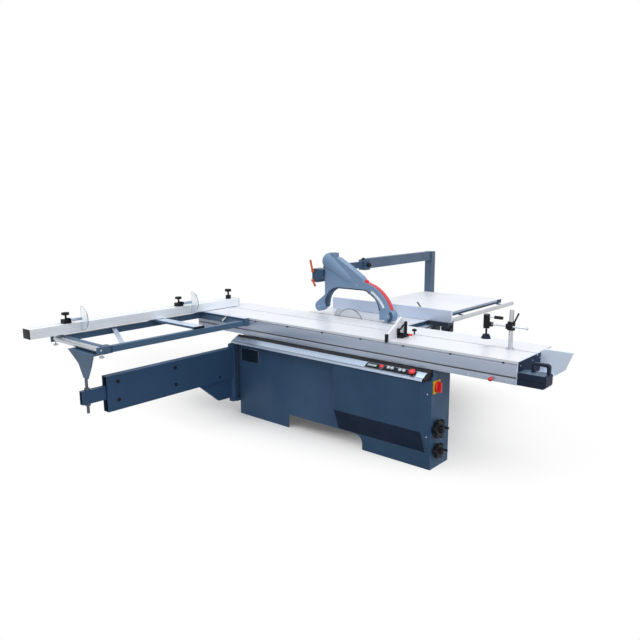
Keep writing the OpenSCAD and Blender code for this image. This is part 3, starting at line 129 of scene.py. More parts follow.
class EffectBook:
    """Builds each shared effect's node group once."""

    def __init__(self) -> None:
        """Makes the groups."""
        self.groups = {Effect.EDGE_WEAR: self.edge_wear(), Effect.MOTTLE: self.mottle(),
                       Effect.BRUSHED: self.brushed(), Effect.PEEL: self.peel()}

    @staticmethod
    def blank(effect: Effect, inputs: dict[str, float], outputs: Sequence[str]) -> tuple[Graph, dict, dict]:
        """Starts a group with named sockets.

        Args:
            effect: Its name.
            inputs: Input names with their defaults.
            outputs: Output names.

        Returns:
            The graph, the input sockets and the output sockets by name.
        """
        tree = bpy.data.node_groups.new(effect.value, "ShaderNodeTree")
        for name, value in inputs.items():
            tree.interface.new_socket(name, in_out="INPUT", socket_type="NodeSocketFloat").default_value = value
        for name in outputs:
            tree.interface.new_socket(name, in_out="OUTPUT", socket_type="NodeSocketFloat")
        graph = Graph(tree)
        start, end = graph.node("NodeGroupInput"), graph.node("NodeGroupOutput")
        return graph, {n: start.outputs[n] for n in inputs}, {n: end.inputs[n] for n in outputs}

    def edge_wear(self) -> bpy.types.NodeTree:
        """Mask of rubbed edges, broken up by noise."""
        graph, given, out = self.blank(Effect.EDGE_WEAR, {"Radius": 0.002, "Gain": 6.0, "Breakup": 60.0}, ["Mask"])
        bevel = graph.node("ShaderNodeBevel", {"Radius": given["Radius"]}, samples=4).outputs[0]
        normal = graph.node("ShaderNodeNewGeometry").outputs["Normal"]
        dot = graph.node("ShaderNodeVectorMath", {0: bevel, 1: normal}, operation="DOT_PRODUCT").outputs["Value"]
        strong = graph.math("MULTIPLY", graph.math("SUBTRACT", 1.0, dot), given["Gain"])
        chips = graph.spread(graph.noise(graph.here(), given["Breakup"], 3.0), 0.25, 1.0)
        graph.put(graph.math("MULTIPLY", strong, chips, clamp=True), out["Mask"])
        return graph.tree

    def mottle(self) -> bpy.types.NodeTree:
        """Broad and fine unevenness, from 0 to 1."""
        graph, given, out = self.blank(Effect.MOTTLE, {"Scale": 4.0, "Fine": 0.35}, ["Value"])
        place = graph.here()
        broad = graph.noise(place, given["Scale"], 3.0)
        fine = graph.noise(place, graph.math("MULTIPLY", given["Scale"], 23.0), 2.0)
        lean = graph.math("MULTIPLY", graph.math("SUBTRACT", fine, 0.5), given["Fine"])
        graph.put(graph.spread(graph.math("ADD", broad, lean), 0.0, 1.0), out["Value"])
        return graph.tree

    def brushed(self) -> bpy.types.NodeTree:
        """Fine lines drawn out along one axis."""
        wanted = {**dict(zip(ALONG, Grain.ALONG_X.value)), "Scale": 20.0}
        graph, given, out = self.blank(Effect.BRUSHED, wanted, ["Value", "Height"])
        stretch = graph.node("ShaderNodeCombineXYZ", {i: given[name] for i, name in enumerate(ALONG)}).outputs[0]
        scaled = graph.node("ShaderNodeVectorMath", {0: graph.here(), 1: stretch}, operation="MULTIPLY").outputs[0]
        lines = graph.noise(scaled, given["Scale"], 4.0)
        graph.put(graph.spread(lines, 0.0, 1.0), out["Value"])
        graph.put(lines, out["Height"])
        return graph.tree

    def peel(self) -> bpy.types.NodeTree:
        """Fine dimples of sprayed or moulded surfaces."""
        graph, given, out = self.blank(Effect.PEEL, {"Scale": 420.0}, ["Height"])
        graph.put(graph.noise(graph.here(), given["Scale"], 2.0), out["Height"])
        return graph.tree

    def use(self, graph: Graph, effect: Effect, given: dict[str, float] | None = None) -> bpy.types.bpy_prop_collection:
        """Places an effect in a material, with values for its inputs, and returns its outputs."""
        return graph.node("ShaderNodeGroup", given, node_tree=self.groups[effect]).outputs


class Grain(Enum):
    """Direction in which a metal was drawn or ground, as stretch along X, Y and Z."""

    ALONG_X = (1.0, 60.0, 60.0)
    ALONG_Y = (60.0, 1.0, 60.0)
    ALONG_Z = (60.0, 60.0, 1.0)
    EVEN = (30.0, 30.0, 30.0)


@dataclass(frozen=True)
class Finish:
    """One surface finish.

    Args:
        name: Name of the material.
        tint: Main colour.
        shade: Colour of the uneven patches.
        edge: Colour of rubbed edges.
        slot: The record's material slot; not used.
        rough: Middle roughness.
        metallic: Share of bare metal.
        grain: Drawn direction, or None for paint and plastic.
        bump: Height of the fine texture in millimetres.
        wear: Strength of rubbed edges.
        coat: Clear coat.
        clear: Share of light that passes through.
        gloss: Specular level.
    """

    name: str
    tint: str
    shade: str
    edge: str
    slot: str
    rough: float = 0.45
    metallic: float = 0.0
    grain: Grain | None = None
    bump: float = 0.05
    wear: float = 2.0
    coat: float = 0.0
    clear: float = 0.0
    gloss: float = 0.5

    def material(self, effects: EffectBook) -> bpy.types.Material:
        """Builds the material.

        Args:
            effects: The shared node groups.

        Returns:
            The material.
        """
        made = bpy.data.materials.new(self.name)
        made.use_nodes = True
        graph = Graph(made.node_tree)
        mottle = effects.use(graph, Effect.MOTTLE, {"Scale": 3.0})["Value"]
        if self.grain is None:
            texture, uneven = effects.use(graph, Effect.PEEL), mottle
        else:
            texture = effects.use(graph, Effect.BRUSHED, dict(zip(ALONG, self.grain.value)))
            uneven = graph.math("MULTIPLY", graph.math("ADD", texture["Value"], mottle), 0.5)
        body = graph.mix(graph.math("MULTIPLY", uneven, PATCH_SHARE), srgb(self.tint), srgb(self.shade))
        worn = effects.use(graph, Effect.EDGE_WEAR, {"Gain": self.wear})["Mask"]
        low, high = self.rough * (1 - ROUGH_SPREAD), self.rough * (1 + ROUGH_SPREAD)
        relief = graph.node("ShaderNodeBump", {
            "Strength": RELIEF, "Distance": self.bump / 1000, "Height": texture["Height"]})
        shader = graph.node("ShaderNodeBsdfPrincipled", {
            "Base Color": graph.mix(worn, body, srgb(self.edge)),
            "Roughness": graph.spread(uneven, low, high, (0.0, 1.0)), "Normal": relief.outputs[0],
            "Metallic": self.metallic, "Coat Weight": self.coat, "Specular IOR Level": self.gloss,
            "Transmission Weight": self.clear})
        graph.node("ShaderNodeOutputMaterial", {0: shader.outputs[0]})
        return made


EFFECTS = EffectBook()


class Coat(Enum):
    """Every finish on the machine."""

    CABINET = Finish("cabinet_slate", "#3d5e80", "#345374", "#7389a3", "cabinet_paint", rough=0.5, gloss=0.28)
    COVER = Finish("cover_slate", "#335373", "#2c4967", "#7389a3", "cabinet_paint", rough=0.48, gloss=0.25)
    # Painted shade on the cover's downward slant; the same dark slate paints the tray's back trim.
    DARK_SLATE_AND_SHADE = Finish("dark_slate_and_painted_shade", "#152a46", "#10223a", "#4c617a", "cabinet_paint", rough=0.55, gloss=0.12)
    BASE = Finish("base_dark", "#2e3b4b", "#273341", "#5f6c7b", "base_paint", rough=0.55, gloss=0.3)
    FRAME = Finish("frame_slate", "#4f6d8b", "#446180", "#8a9bb0", "frame_paint", rough=0.45, gloss=0.35)
    ARM = Finish("arm_slate", "#2f4f72", "#284564", "#6d84a0", "frame_paint", rough=0.5, gloss=0.28)
    BOOM = Finish("boom_slate", "#566a84", "#4c5f79", "#98a8bc", "frame_paint", rough=0.45, gloss=0.35)
    KNUCKLE = Finish("knuckle_navy", "#2f4f6d", "#274460", "#6e88a0", "frame_paint", rough=0.42, gloss=0.35)
    HOOD = Finish("hood_shell", "#7793b4", "#6d89a9", "#9db3cd", "guard_shell", rough=0.5, bump=0.12, wear=1.0)
    CARRIAGE = Finish("table_anodised", "#e6e9f0", "#d9dde6", "#f2f4f8", "table_aluminium", rough=0.36,
                      metallic=0.15, grain=Grain.ALONG_X)
    STRIP = Finish("strip_bright", "#c6d6ea", "#aebfd4", "#eef0f4", "strip_aluminium", rough=0.3,
                   metallic=0.7, grain=Grain.ALONG_X)
    # Painted shade: a darker copy of the table's anodised aluminium for side faces, which the lamps leave in shade.
    SIDE_SHADE = Finish("side_anodised_painted_shade", "#b2bed1", "#a1afc5", "#dfe3ea", "table_aluminium", rough=0.34,
                  metallic=0.35, grain=Grain.ALONG_X)
    FENCE = Finish("fence_anodised", "#f4f9ff", "#ecf3fc", "#fbfcfe", "fence_aluminium", rough=0.4,
                   metallic=0.1, grain=Grain.ALONG_Y)
    RIP = Finish("rip_anodised", "#d3dff2", "#c5d3ea", "#eaf0f8", "fence_aluminium", rough=0.38,
                 metallic=0.5, grain=Grain.ALONG_X)
    IRON = Finish("table_ground", "#e6e9ef", "#d8dce4", "#f4f5f7", "table_iron", rough=0.34,
                  metallic=0.3, grain=Grain.ALONG_X)
    CASTING = Finish("unit_casting", "#50565f", "#424850", "#838a94", "unit_iron", rough=0.6, bump=0.3)
    WHITE = Finish("sheet_white", "#e8ebf1", "#e0e4ec", "#f3f5f8", "sheet_white", rough=0.45)
    TRAY = Finish("tray_blue", "#e3f0ff", "#daeafd", "#f2f6fc", "tray_paint", rough=0.4, metallic=0.05)
    STEEL = Finish("ground_steel", "#c9cdd3", "#adb2ba", "#e8eaec", "bright_steel", rough=0.28,
                   metallic=0.9, grain=Grain.EVEN)
    ROD = Finish("dark_steel", "#5a616c", "#484e58", "#8f96a0", "bright_steel", rough=0.34,
                 metallic=0.8, grain=Grain.ALONG_Z)
    BLADE = Finish("blade_disc", "#d9dce0", "#bfc4cb", "#f0f1f2", "blade_steel", rough=0.24,
                   metallic=0.85, grain=Grain.EVEN)
    BLACK = Finish("moulded_black", "#15181f", "#101319", "#363c46", "black_plastic", rough=0.5,
                   bump=0.1, wear=1.0, gloss=0.18)
    RUBBER = Finish("bumper_black", "#18253c", "#131e32", "#34435c", "bumper_rubber", rough=0.62,
                    bump=0.15, wear=0.8, gloss=0.22)
    BELT = Finish("belt_black", "#15161a", "#101114", "#2a2c31", "belt_rubber", rough=0.8)
    RED = Finish("gloss_red", "#ea1f29", "#d81822", "#f2767c", "red_plastic", rough=0.3, coat=0.1, wear=0.8)
    ORANGE = Finish("lever_orange", "#d2602c", "#bd5323", "#e9a17c", "orange_plastic", rough=0.4, wear=1.0)
    YELLOW = Finish("switch_yellow", "#f2c21a", "#e3b30f", "#f8de7c", "red_plastic", rough=0.35, wear=0.8)
    LIGHT = Finish("key_white", "#eef0f3", "#e2e5ea", "#ffffff", "white_plastic", rough=0.3, coat=0.2, wear=0.5)
    KEY = Finish("key_grey", "#b6c4d0", "#a9b8c6", "#d8e0e8", "white_plastic", rough=0.35, coat=0.1, wear=0.5)
    SCREEN = Finish("display_pale", "#9db1b8", "#93a8b0", "#b8c8cd", "white_plastic", rough=0.18, wear=0.3)
    CLEAR = Finish("flap_clear", "#f4f9fc", "#eaf3f8", "#fcfdfe", "clear_plastic", rough=0.06, clear=0.95, wear=0.4)
    GLASS = Finish("display_dark", "#1c2733", "#16202b", "#33404e", "black_plastic", rough=0.12, coat=0.8, wear=0.3)
    BRASS = Finish("cage_brass", "#c9a85c", "#b08f45", "#e2cd96", "cage_brass", rough=0.35,
                   metallic=0.9, grain=Grain.ALONG_X)
    MOTOR = Finish("motor_enamel", "#3c536e", "#334861", "#7488a0", "motor_paint", rough=0.4, coat=0.15)

    @cache
    def material(self) -> bpy.types.Material:
        """The finish's material, made once."""
        return self.value.material(EFFECTS)


CAD_COATS: dict[str, Coat] = {node: coat for coat, nodes in (
    (Coat.CABINET, "front_cabinet"),
    (Coat.BASE, "rear_base rip_holder"),
    (Coat.COVER, "front_cover"),
    (Coat.STRIP, "console_strip"),
    (Coat.BLACK, "control_panel pivot_knob outer_stop inner_stop lift_handwheel tilt_handwheel rip_lever shoe_lever "
                 "clamp_sleeve rocker_left rocker_right"),
    (Coat.STEEL, "base_rail rip_rail outrigger_roller outrigger_lever arbor motor_pulley riving_knife clamp_column "
                 "clamp_rod"),
    (Coat.IRON, "fixed_table"),
    (Coat.WHITE, "extension_table"),
    (Coat.BOOM, "guard_post"),
    (Coat.ARM, "hinge_post swing_arm arm_tube"),
    (Coat.CASTING, "trunnion_shoes tilt_frame lift_carriage"),
    (Coat.CARRIAGE, "carriage edging_shoe"),
    (Coat.TRAY, "end_tray"),
    (Coat.RUBBER, "bumper pull_handle clamp_spindle"),
    (Coat.RED, "table_lock_knob main_switch emergency_stop stop_button"),
    (Coat.BRASS, "roller_cage"),
    (Coat.FRAME, "outrigger_frame cross_support"),
    (Coat.FENCE, "crosscut_fence"),
    (Coat.CLEAR, "outer_flap inner_flap"),
    (Coat.ROD, "support_rod"),
    (Coat.BLADE, "saw_blade scoring_blade"),
    (Coat.MOTOR, "motor"),
    (Coat.BELT, "drive_belt"),
    (Coat.KNUCKLE, "guard_arm"),
    (Coat.HOOD, "guard_hood"),
    (Coat.ORANGE, "lock_lever_upper lock_lever_lower"),
    (Coat.RIP, "rip_fence")) for node in nodes.split()}


def dress_solids() -> None:
    """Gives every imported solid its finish."""
    for node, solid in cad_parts.items():
        solid.data.materials.clear()
        solid.data.materials.append(CAD_COATS[node].material())


def facing(centre: Sequence[float], axis: Sequence[float]) -> Matrix:
    """Frame at a point, with its Z along an axis, in the machine's frame."""
    turn = Vector(axis).normalized().to_track_quat("Z", "Y")
    return Matrix.Translation(centre) @ turn.to_matrix().to_4x4()


class Shape:
    """Collects turned, folded and drawn forms into one mesh, in the machine's frame, in metres."""

    def __init__(self) -> None:
        """Starts an empty mesh."""
        self.mesh = bmesh.new()

    def ring(self, place: Matrix, radius: float, height: float, sides: int) -> Ring:
        """Adds a ring of corners, square to the Z of its frame."""
        turns = [2 * math.pi * i / sides for i in range(sides)]
        return [self.mesh.verts.new(place @ Vector((radius * math.cos(t), radius * math.sin(t), height)))
                for t in turns]

    def skin(self, rings: Sequence[Ring], hollow: bool = False, bevel: float = 0.0) -> "Shape":
        """Joins rings by faces.

        Args:
            rings: Rings with the same number of corners.
            hollow: Whether the last ring joins the first one, in place of two end faces.
            bevel: Width of the rounded edges.

        Returns:
            This shape.
        """
        add, order = self.mesh.faces.new, (*range(1, len(rings[0])), 0)
        faces = [] if hollow else [add(rings[0]), add(rings[-1])]
        for low, high in zip(rings, [*rings[1:], rings[0]] if hollow else rings[1:]):
            faces += [add((low[i - 1], low[i], high[i], high[i - 1])) for i in order]
        bmesh.ops.recalc_face_normals(self.mesh, faces=faces)
        if bevel:
            edges = list(dict.fromkeys(edge for face in faces for edge in face.edges))
            bmesh.ops.bevel(self.mesh, geom=edges, offset=bevel, segments=2, profile=0.7, affect="EDGES",
                            clamp_overlap=True)
        return self

    def prism(self, outline: Sequence[Flat], axis: str, low: float, high: float, bevel: float = 0.0) -> "Shape":
        """Extrudes an outline, drawn in the other two axes in X, Y, Z order, along "x", "y" or "z"."""
        order, new = {"x": (2, 0, 1), "y": (0, 2, 1), "z": (0, 1, 2)}[axis], self.mesh.verts.new
        return self.skin([[new([(*flat, depth)[i] for i in order]) for flat in outline] for depth in (low, high)],
                         bevel=bevel)

    def box(self, low: Point, high: Point, bevel: float = 0.001) -> "Shape":
        """Adds a box with rounded edges between two corners."""
        (x0, y0, z0), (x1, y1, z1) = low, high
        return self.prism([(x0, y0), (x1, y0), (x1, y1), (x0, y1)], "z", z0, z1, bevel)

    def turned(self, profile: Sequence[Flat], centre: Point, axis: Point, sides: int = 32,
               hollow: bool = False) -> "Shape":
        """Turns radius and height pairs about an axis; a hollow form has a bore in place of closed ends."""
        place = facing(centre, axis)
        return self.skin([self.ring(place, radius, height, sides) for radius, height in profile], hollow)

    def shell(self, radius: float, span: Flat, centre: Point, axis: Point) -> "Shape":
        """Adds a round cover with softened ends over a bar.

        Args:
            radius: Its outer radius.
            span: Heights of its ends.
            centre: Where height 0 is.
            axis: Direction of the height.

        Returns:
            This shape.
        """
        low, high = span
        soft = min(0.003, radius * 0.2)
        start = [(radius * 0.3, 0.0), (radius - soft, 0.0), (radius - soft * 0.3, soft * 0.3), (radius, soft)]
        profile = [(r, low + h) for r, h in start] + [(r, high - h) for r, h in reversed(start)]
        return self.turned(profile, centre, axis)

    def star(self, place: Flat, radius: float, span: Flat, lobes: int = 5) -> "Shape":
        """Adds a lobed grip that stands upright.

        Args:
            place: Its middle in X and Y.
            radius: Radius of its lobes.
            span: Lower and upper height.
            lobes: How many lobes.

        Returns:
            This shape.
        """
        turns = [2 * math.pi * i / (lobes * 8) for i in range(lobes * 8)]
        polar = [(radius * (0.76 + 0.24 * math.cos(lobes * t)), t) for t in turns]
        outline = [(place[0] + r * math.cos(t), place[1] + r * math.sin(t)) for r, t in polar]
        return self.prism(outline, "z", *span, 0.0015)

    def rod(self, path: Sequence[Point], radius: float, sides: int = 10) -> "Shape":
        """Draws a round bar along a path.

        Args:
            path: Points along its middle.
            radius: Its radius.
            sides: Facets round.

        Returns:
            This shape.
        """
        points = [Vector(p) for p in path]
        ahead, behind = points[1:] + points[-1:], points[:1] + points[:-1]
        return self.skin([self.ring(facing(p, a - b), radius, 0.0, sides) for p, a, b in zip(points, ahead, behind)])

    def head(self, profile: Sequence[tuple], size: float, place: Point, axis: Point, sides: int) -> "Shape":
        """Turns a head's profile, in units of its size, on a face; where a height is None it is sunk in."""
        return self.turned([(size * r, -SUNK if h is None else size * h) for r, h in profile], place, axis, sides)

    def screw(self, place: Point, axis: Point, radius: float = 0.006) -> "Shape":
        """Adds a domed screw head with a rim, standing on a face."""
        return self.head(SCREW_HEAD, radius, place, axis, 16)

    def bolt(self, place: Point, axis: Point, radius: float) -> "Shape":
        """Adds a hexagon bolt head on a washer."""
        return self.head(WASHER, radius, place, axis, 24).head(BOLT_HEAD, radius, place, axis, 6)


def arc(centre: Flat, radius: float, start: float, end: float, steps: int = 24) -> list[Flat]:
    """Points along an arc round a centre, from one angle in degrees to another, in so many chords."""
    angles = [math.radians(start + (end - start) * i / steps) for i in range(steps + 1)]
    return [(centre[0] + radius * math.cos(a), centre[1] + radius * math.sin(a)) for a in angles]


class SubAssembly:
    """Fittings of one part of the machine, which ride on its home body unless another one is named."""

    home: ClassVar[str] = "base"

    def fit(self, name: str, coat: Coat, shape: Shape, body: str | None = None) -> None:
        """Makes a piece and lets it ride on a body.

        Args:
            name: Name of the piece.
            coat: Its finish.
            shape: Its mesh.
            body: The body it moves with.
        """
        body = body or self.home
        data = bpy.data.meshes.new(name)
        shape.mesh.to_mesh(data)
        shape.mesh.free()
        data.shade_smooth()
        data.set_sharp_from_angle(angle=math.radians(SHARP_ANGLE))
        data.materials.append(coat.material())
        made = bpy.data.objects.new(name, data)
        bpy.context.scene.collection.objects.link(made)
        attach(made, body)
        LOG.info("%s rides on %s", name, body)


@dataclass
class Cabinet(SubAssembly):
    """Small fittings of the front cabinet, its cover and its operator end."""

    front: float = -0.620
    end: float = 1.0
    plate: Block = ((-0.966, -0.623, 0.508), (-0.754, -0.620, 0.622))
    plate_rim: float = 0.003
    switch: Block = ((1.0, -0.610, 0.569), (1.011, -0.520, 0.663))
    switch_cap: Point = (1.0115, -0.565, 0.616)
    shade_facing_t: float = 0.0012
    slant_shade_x: Flat = (0.163, 0.955)
    slant_shade_edges: tuple[Flat, Flat] = ((-0.6895, 0.2985), (-0.6225, 0.1265))
    slant_shade_out: Flat = (-0.178, -0.070)
    foot: Flat = (0.323, 0.048)
    foot_r: float = 0.0706
    foot_corner: Flat = (0.998, 0.002)
    skirt: Block = ((0.996, -0.602, 0.686), (1.001, -0.368, 0.7354))
    flank: Point = (0.070, -0.045, 0.0)
    flank_screw: Flat = (0.9807, -0.650)
    flank_heights: Flat = (0.575, 0.257)
    wheels: tuple[Flat, Flat] = ((-0.550, 0.304), (-0.550, 0.138))
    hub_radii: Flat = (0.007, 0.006)
    hub_out: float = 0.066

    def build(self) -> None:
        """Builds the plate, the switch's cover, the facings (two of them painted shade), the screws and the wheel hubs.
        """
        self.fit("cabinet_plate", Coat.GLASS, Shape().box(*self.plate))
        ((x0, face, z0), (x1, y, z1)), r, rim = self.plate, self.plate_rim, Shape()
        for (a, c), (b, d) in (((x0 - r, z0 - r), (x1 + r, z0)), ((x0 - r, z1), (x1 + r, z1 + r)),
                               ((x0 - r, z0), (x0, z1)), ((x1, z0), (x1 + r, z1))):
            rim.box((a, face - 0.001, c), (b, y, d), 0.0008)
        self.fit("cabinet_plate_rim", Coat.STEEL, rim)
        self.fit("switch_housing", Coat.YELLOW, Shape().box(*self.switch, 0.004))
        cap = [(0.002, 0.0), (0.0395, 0.0), (0.0415, 0.003), (0.0415, 0.014), (0.0390, 0.0175), (0.002, 0.018)]
        self.fit("switch_cap", Coat.RED, Shape().turned(cap, self.switch_cap, X_AXIS), "main_switch")
        self.facings()
        screws = Shape()
        for height in self.flank_heights:
            screws.screw((*self.flank_screw, height), self.flank, 0.0055)
        self.fit("cabinet_screws", Coat.STEEL, screws)
        for wheel, (y, z), r in zip(("lift", "tilt"), self.wheels, self.hub_radii):
            hub = [(r * 0.1, 0.0), (r, 0.0), (r, 0.004), (r * 0.8, 0.008), (r * 0.1, 0.0095)]
            self.fit(f"{wheel}_wheel_hub", Coat.ROD, Shape().turned(hub, (self.end + self.hub_out, y, z), X_AXIS),
                     f"{wheel}_handwheel")

    def facings(self) -> None:
        """Lays thin facings on the cover's slant, the near foot and the rail's end; those on the slant and the foot are
        painted shade.
        """
        # Painted shade: a darker facing on the cover's downward slant stands in for the shade that falls on it.
        top, low = (Vector(edge) for edge in self.slant_shade_edges)
        lean = Vector(self.slant_shade_out).normalized() * self.shade_facing_t
        section = [tuple(v) for v in (top, low, low + lean, top + lean)]
        self.fit("cover_slant_shade", Coat.DARK_SLATE_AND_SHADE, Shape().prism(section, "x", *self.slant_shade_x))
        # Painted shade: a darker facing on the near foot carries the slant's shade down to the floor.
        (x, z), r, (x1, z0) = self.foot, self.foot_r, self.foot_corner
        foot = arc(self.foot, r, 90, 0, 12) + [(x + r, z0), (x1, z0), (x1, z + r)]
        self.fit("foot_shade_facing", Coat.COVER, Shape().prism(foot, "y", self.front - self.shade_facing_t, self.front + 0.0002))
        self.fit("rail_end_skirt", Coat.CABINET, Shape().box(*self.skirt))


@dataclass
class RearBase(SubAssembly):
    """Service covers and outlet flange of the base behind the cabinet."""

    back: float = 0.560
    nose: float = 0.384
    tail: float = -0.690
    rear_cover: tuple[Flat, Flat] = ((-0.060, 0.330), (0.110, 0.720))
    side_cover: tuple[Flat, Flat] = ((-0.220, 0.460), (0.110, 0.620))
    sheet: float = 0.002
    inset: float = 0.015
    outlet: Flat = (-0.210, 0.260)
    flange_t: float = 0.0025
    bolt_circle: float = 0.070

    def build(self) -> None:
        """Builds the covers, their screws and the flange."""
        covers, screws, inset = Shape(), Shape(), self.inset
        (x0, x1), (z0, z1) = self.rear_cover
        face = self.back + self.sheet
        covers.box((x0, self.back, z0), (x1, face, z1), 0.0008)
        for x in (x0 + inset, x1 - inset):
            for z in (z0 + inset, (z0 + z1) / 2, z1 - inset):
                screws.screw((x, face, z), Y_AXIS)
        (y0, y1), (z0, z1) = self.side_cover
        for start, side in ((self.nose, 1), (self.tail, -1)):
            face = start + side * self.sheet
            covers.box((min(start, face), y0, z0), (max(start, face), y1, z1), 0.0008)
            for y in (y0 + inset, (y0 + y1) / 2, y1 - inset):
                for z in (z0 + inset, z1 - inset):
                    screws.screw((face, y, z), (side, 0, 0))
        self.fit("base_covers", Coat.CABINET, covers)
        x, z = self.outlet
        flange = [(0.0602, 0.0), (0.0800, 0.0), (0.0800, self.flange_t), (0.0602, self.flange_t)]
        self.fit("outlet_flange", Coat.ROD, Shape().turned(flange, (x, self.back, z), Y_AXIS, 48, hollow=True))
        for x, z in arc(self.outlet, self.bolt_circle, 45, 315, 3):
            screws.screw((x, self.back + self.flange_t, z), Y_AXIS, 0.005)
        self.fit("base_screws", Coat.STEEL, screws)


@dataclass
class Console(SubAssembly):
    """End caps, a black band of painted shade, ribs, display and button caps on the sloped console."""

    top: Flat = (-0.604, 0.736)
    depth: float = 0.096
    drop: float = 0.048
    ends: Flat = (-1.015, 0.965)
    over: float = 0.001
    lip: float = 0.015
    back: Flat = (0.016, 0.046)
    rib_start: float = -0.0915
    rib_pitch: float = 0.0055
    rib_size: Flat = (0.0025, 0.0007)
    panel_x: Flat = (0.454, 0.890)
    panel_out: float = 0.003
    display: Block = ((0.4705, -0.0735, 0.0042), (0.5515, -0.0505, 0.0052))
    row: float = -0.062
    emergency_x: float = 0.862
    stop_x: float = 0.599
    rockers: Flat = (0.676, 0.776)
    key_offset: float = 0.016

    @property
    def slope(self) -> Matrix:
        """Frame of the slope: X along it, Y up to its top edge and Z out of it."""
        return Matrix.Translation((0, *self.top)) @ Matrix.Rotation(math.atan2(self.drop, self.depth), 4, "X")

    def lay(self, name: str, coat: Coat, shape: Shape, body: str | None = None) -> None:
        """Fits a piece that is drawn in the slope's frame."""
        bmesh.ops.transform(shape.mesh, matrix=self.slope, verts=shape.mesh.verts[:])
        self.fit(name, coat, shape, body)

    def build(self) -> None:
        """Builds the caps, the black band of painted shade, the ribs and the display."""
        (y, z), (start, end), (in_y, in_z) = self.top, self.ends, self.back
        front, low = y - self.depth - self.over, z - self.drop
        section = [(y, z - in_z), (y, z + self.over), (front, low + self.over), (front, low - self.lip),
                   (y - in_y, low - self.lip), (y - in_y, z - in_z)]
        self.fit("console_end_cap", Coat.BLACK, Shape().prism(section, "x", end, end + 0.024, 0.004))
        self.fit("console_tail_cap", Coat.STRIP, Shape().prism(section, "x", start - 0.005, start, 0.0015))
        # Painted shade: a thin black band on the top of the slope stands in for the shade of the gap under the
        # carriage.
        shade_band = [(0.002, 0.0), (-0.030, 0.0), (-0.030, 0.0012), (0.002, 0.0014)]
        self.lay("console_shade_band", Coat.BELT, Shape().prism(shade_band, "x", start + 0.003, end + 0.020))
        ribs, (wide, tall) = Shape(), self.rib_size
        for i in range(3):
            edge = self.rib_start - i * self.rib_pitch
            rib = [(edge, 0.0), (edge - wide, 0.0), (edge - wide, tall), (edge, tall)]
            ribs.prism(rib, "x", start + 0.002, end)
        self.lay("console_lip_ribs", Coat.ROD, ribs)
        self.lay("display_glass", Coat.SCREEN, Shape().box(*self.display, 0.0004))
        self.buttons()

    def buttons(self) -> None:
        """Builds the collars, caps and keys of the buttons, and the panel's screws."""
        ring = [(0.0085, 0.0), (0.017, 0.0), (0.017, 0.0015), (0.0155, 0.0025), (0.0085, 0.0025)]
        wide = [(r * 1.32, h) for r, h in ring]
        mushroom = [(0.002, 0.0), (0.0245, 0.0), (0.0255, 0.004), (0.0250, 0.010), (0.0215, 0.0140),
                    (0.0165, 0.0157), (0.002, 0.0165)]
        button = [(0.002, 0.0), (0.0165, 0.0), (0.0165, 0.0045), (0.0145, 0.0068), (0.010, 0.0075), (0.002, 0.0078)]
        key = [(0.002, 0.0), (0.0140, 0.0), (0.0140, 0.0085), (0.0128, 0.0105), (0.0090, 0.0115), (0.002, 0.0118)]
        for name, coat, profile, x, out, body in (
                ("emergency_collar", Coat.BLACK, wide, self.emergency_x, self.panel_out, None),
                ("stop_collar", Coat.STEEL, ring, self.stop_x, self.panel_out, None),
                ("emergency_cap", Coat.RED, mushroom, self.emergency_x, 0.0115, "emergency_stop"),
                ("stop_cap", Coat.RED, button, self.stop_x, 0.0108, "stop_button")):
            self.lay(name, coat, Shape().turned(profile, (x, self.row, out), Z_AXIS), body)
        for side, x in zip(("left", "right"), self.rockers):
            keys = Shape()
            for offset in (-self.key_offset, self.key_offset):
                keys.turned(key, (x + offset, self.row, 0.0075), Z_AXIS)
            self.lay(f"{side}_rocker_keys", Coat.KEY, keys, f"rocker_{side}")
        screws = Shape()
        for x in (self.panel_x[0] + 0.005, self.panel_x[1] - 0.005):
            for y in (-0.041, -0.083):
                screws.screw((x, y, self.panel_out), Z_AXIS, 0.003)
        self.lay("panel_screws", Coat.STEEL, screws)


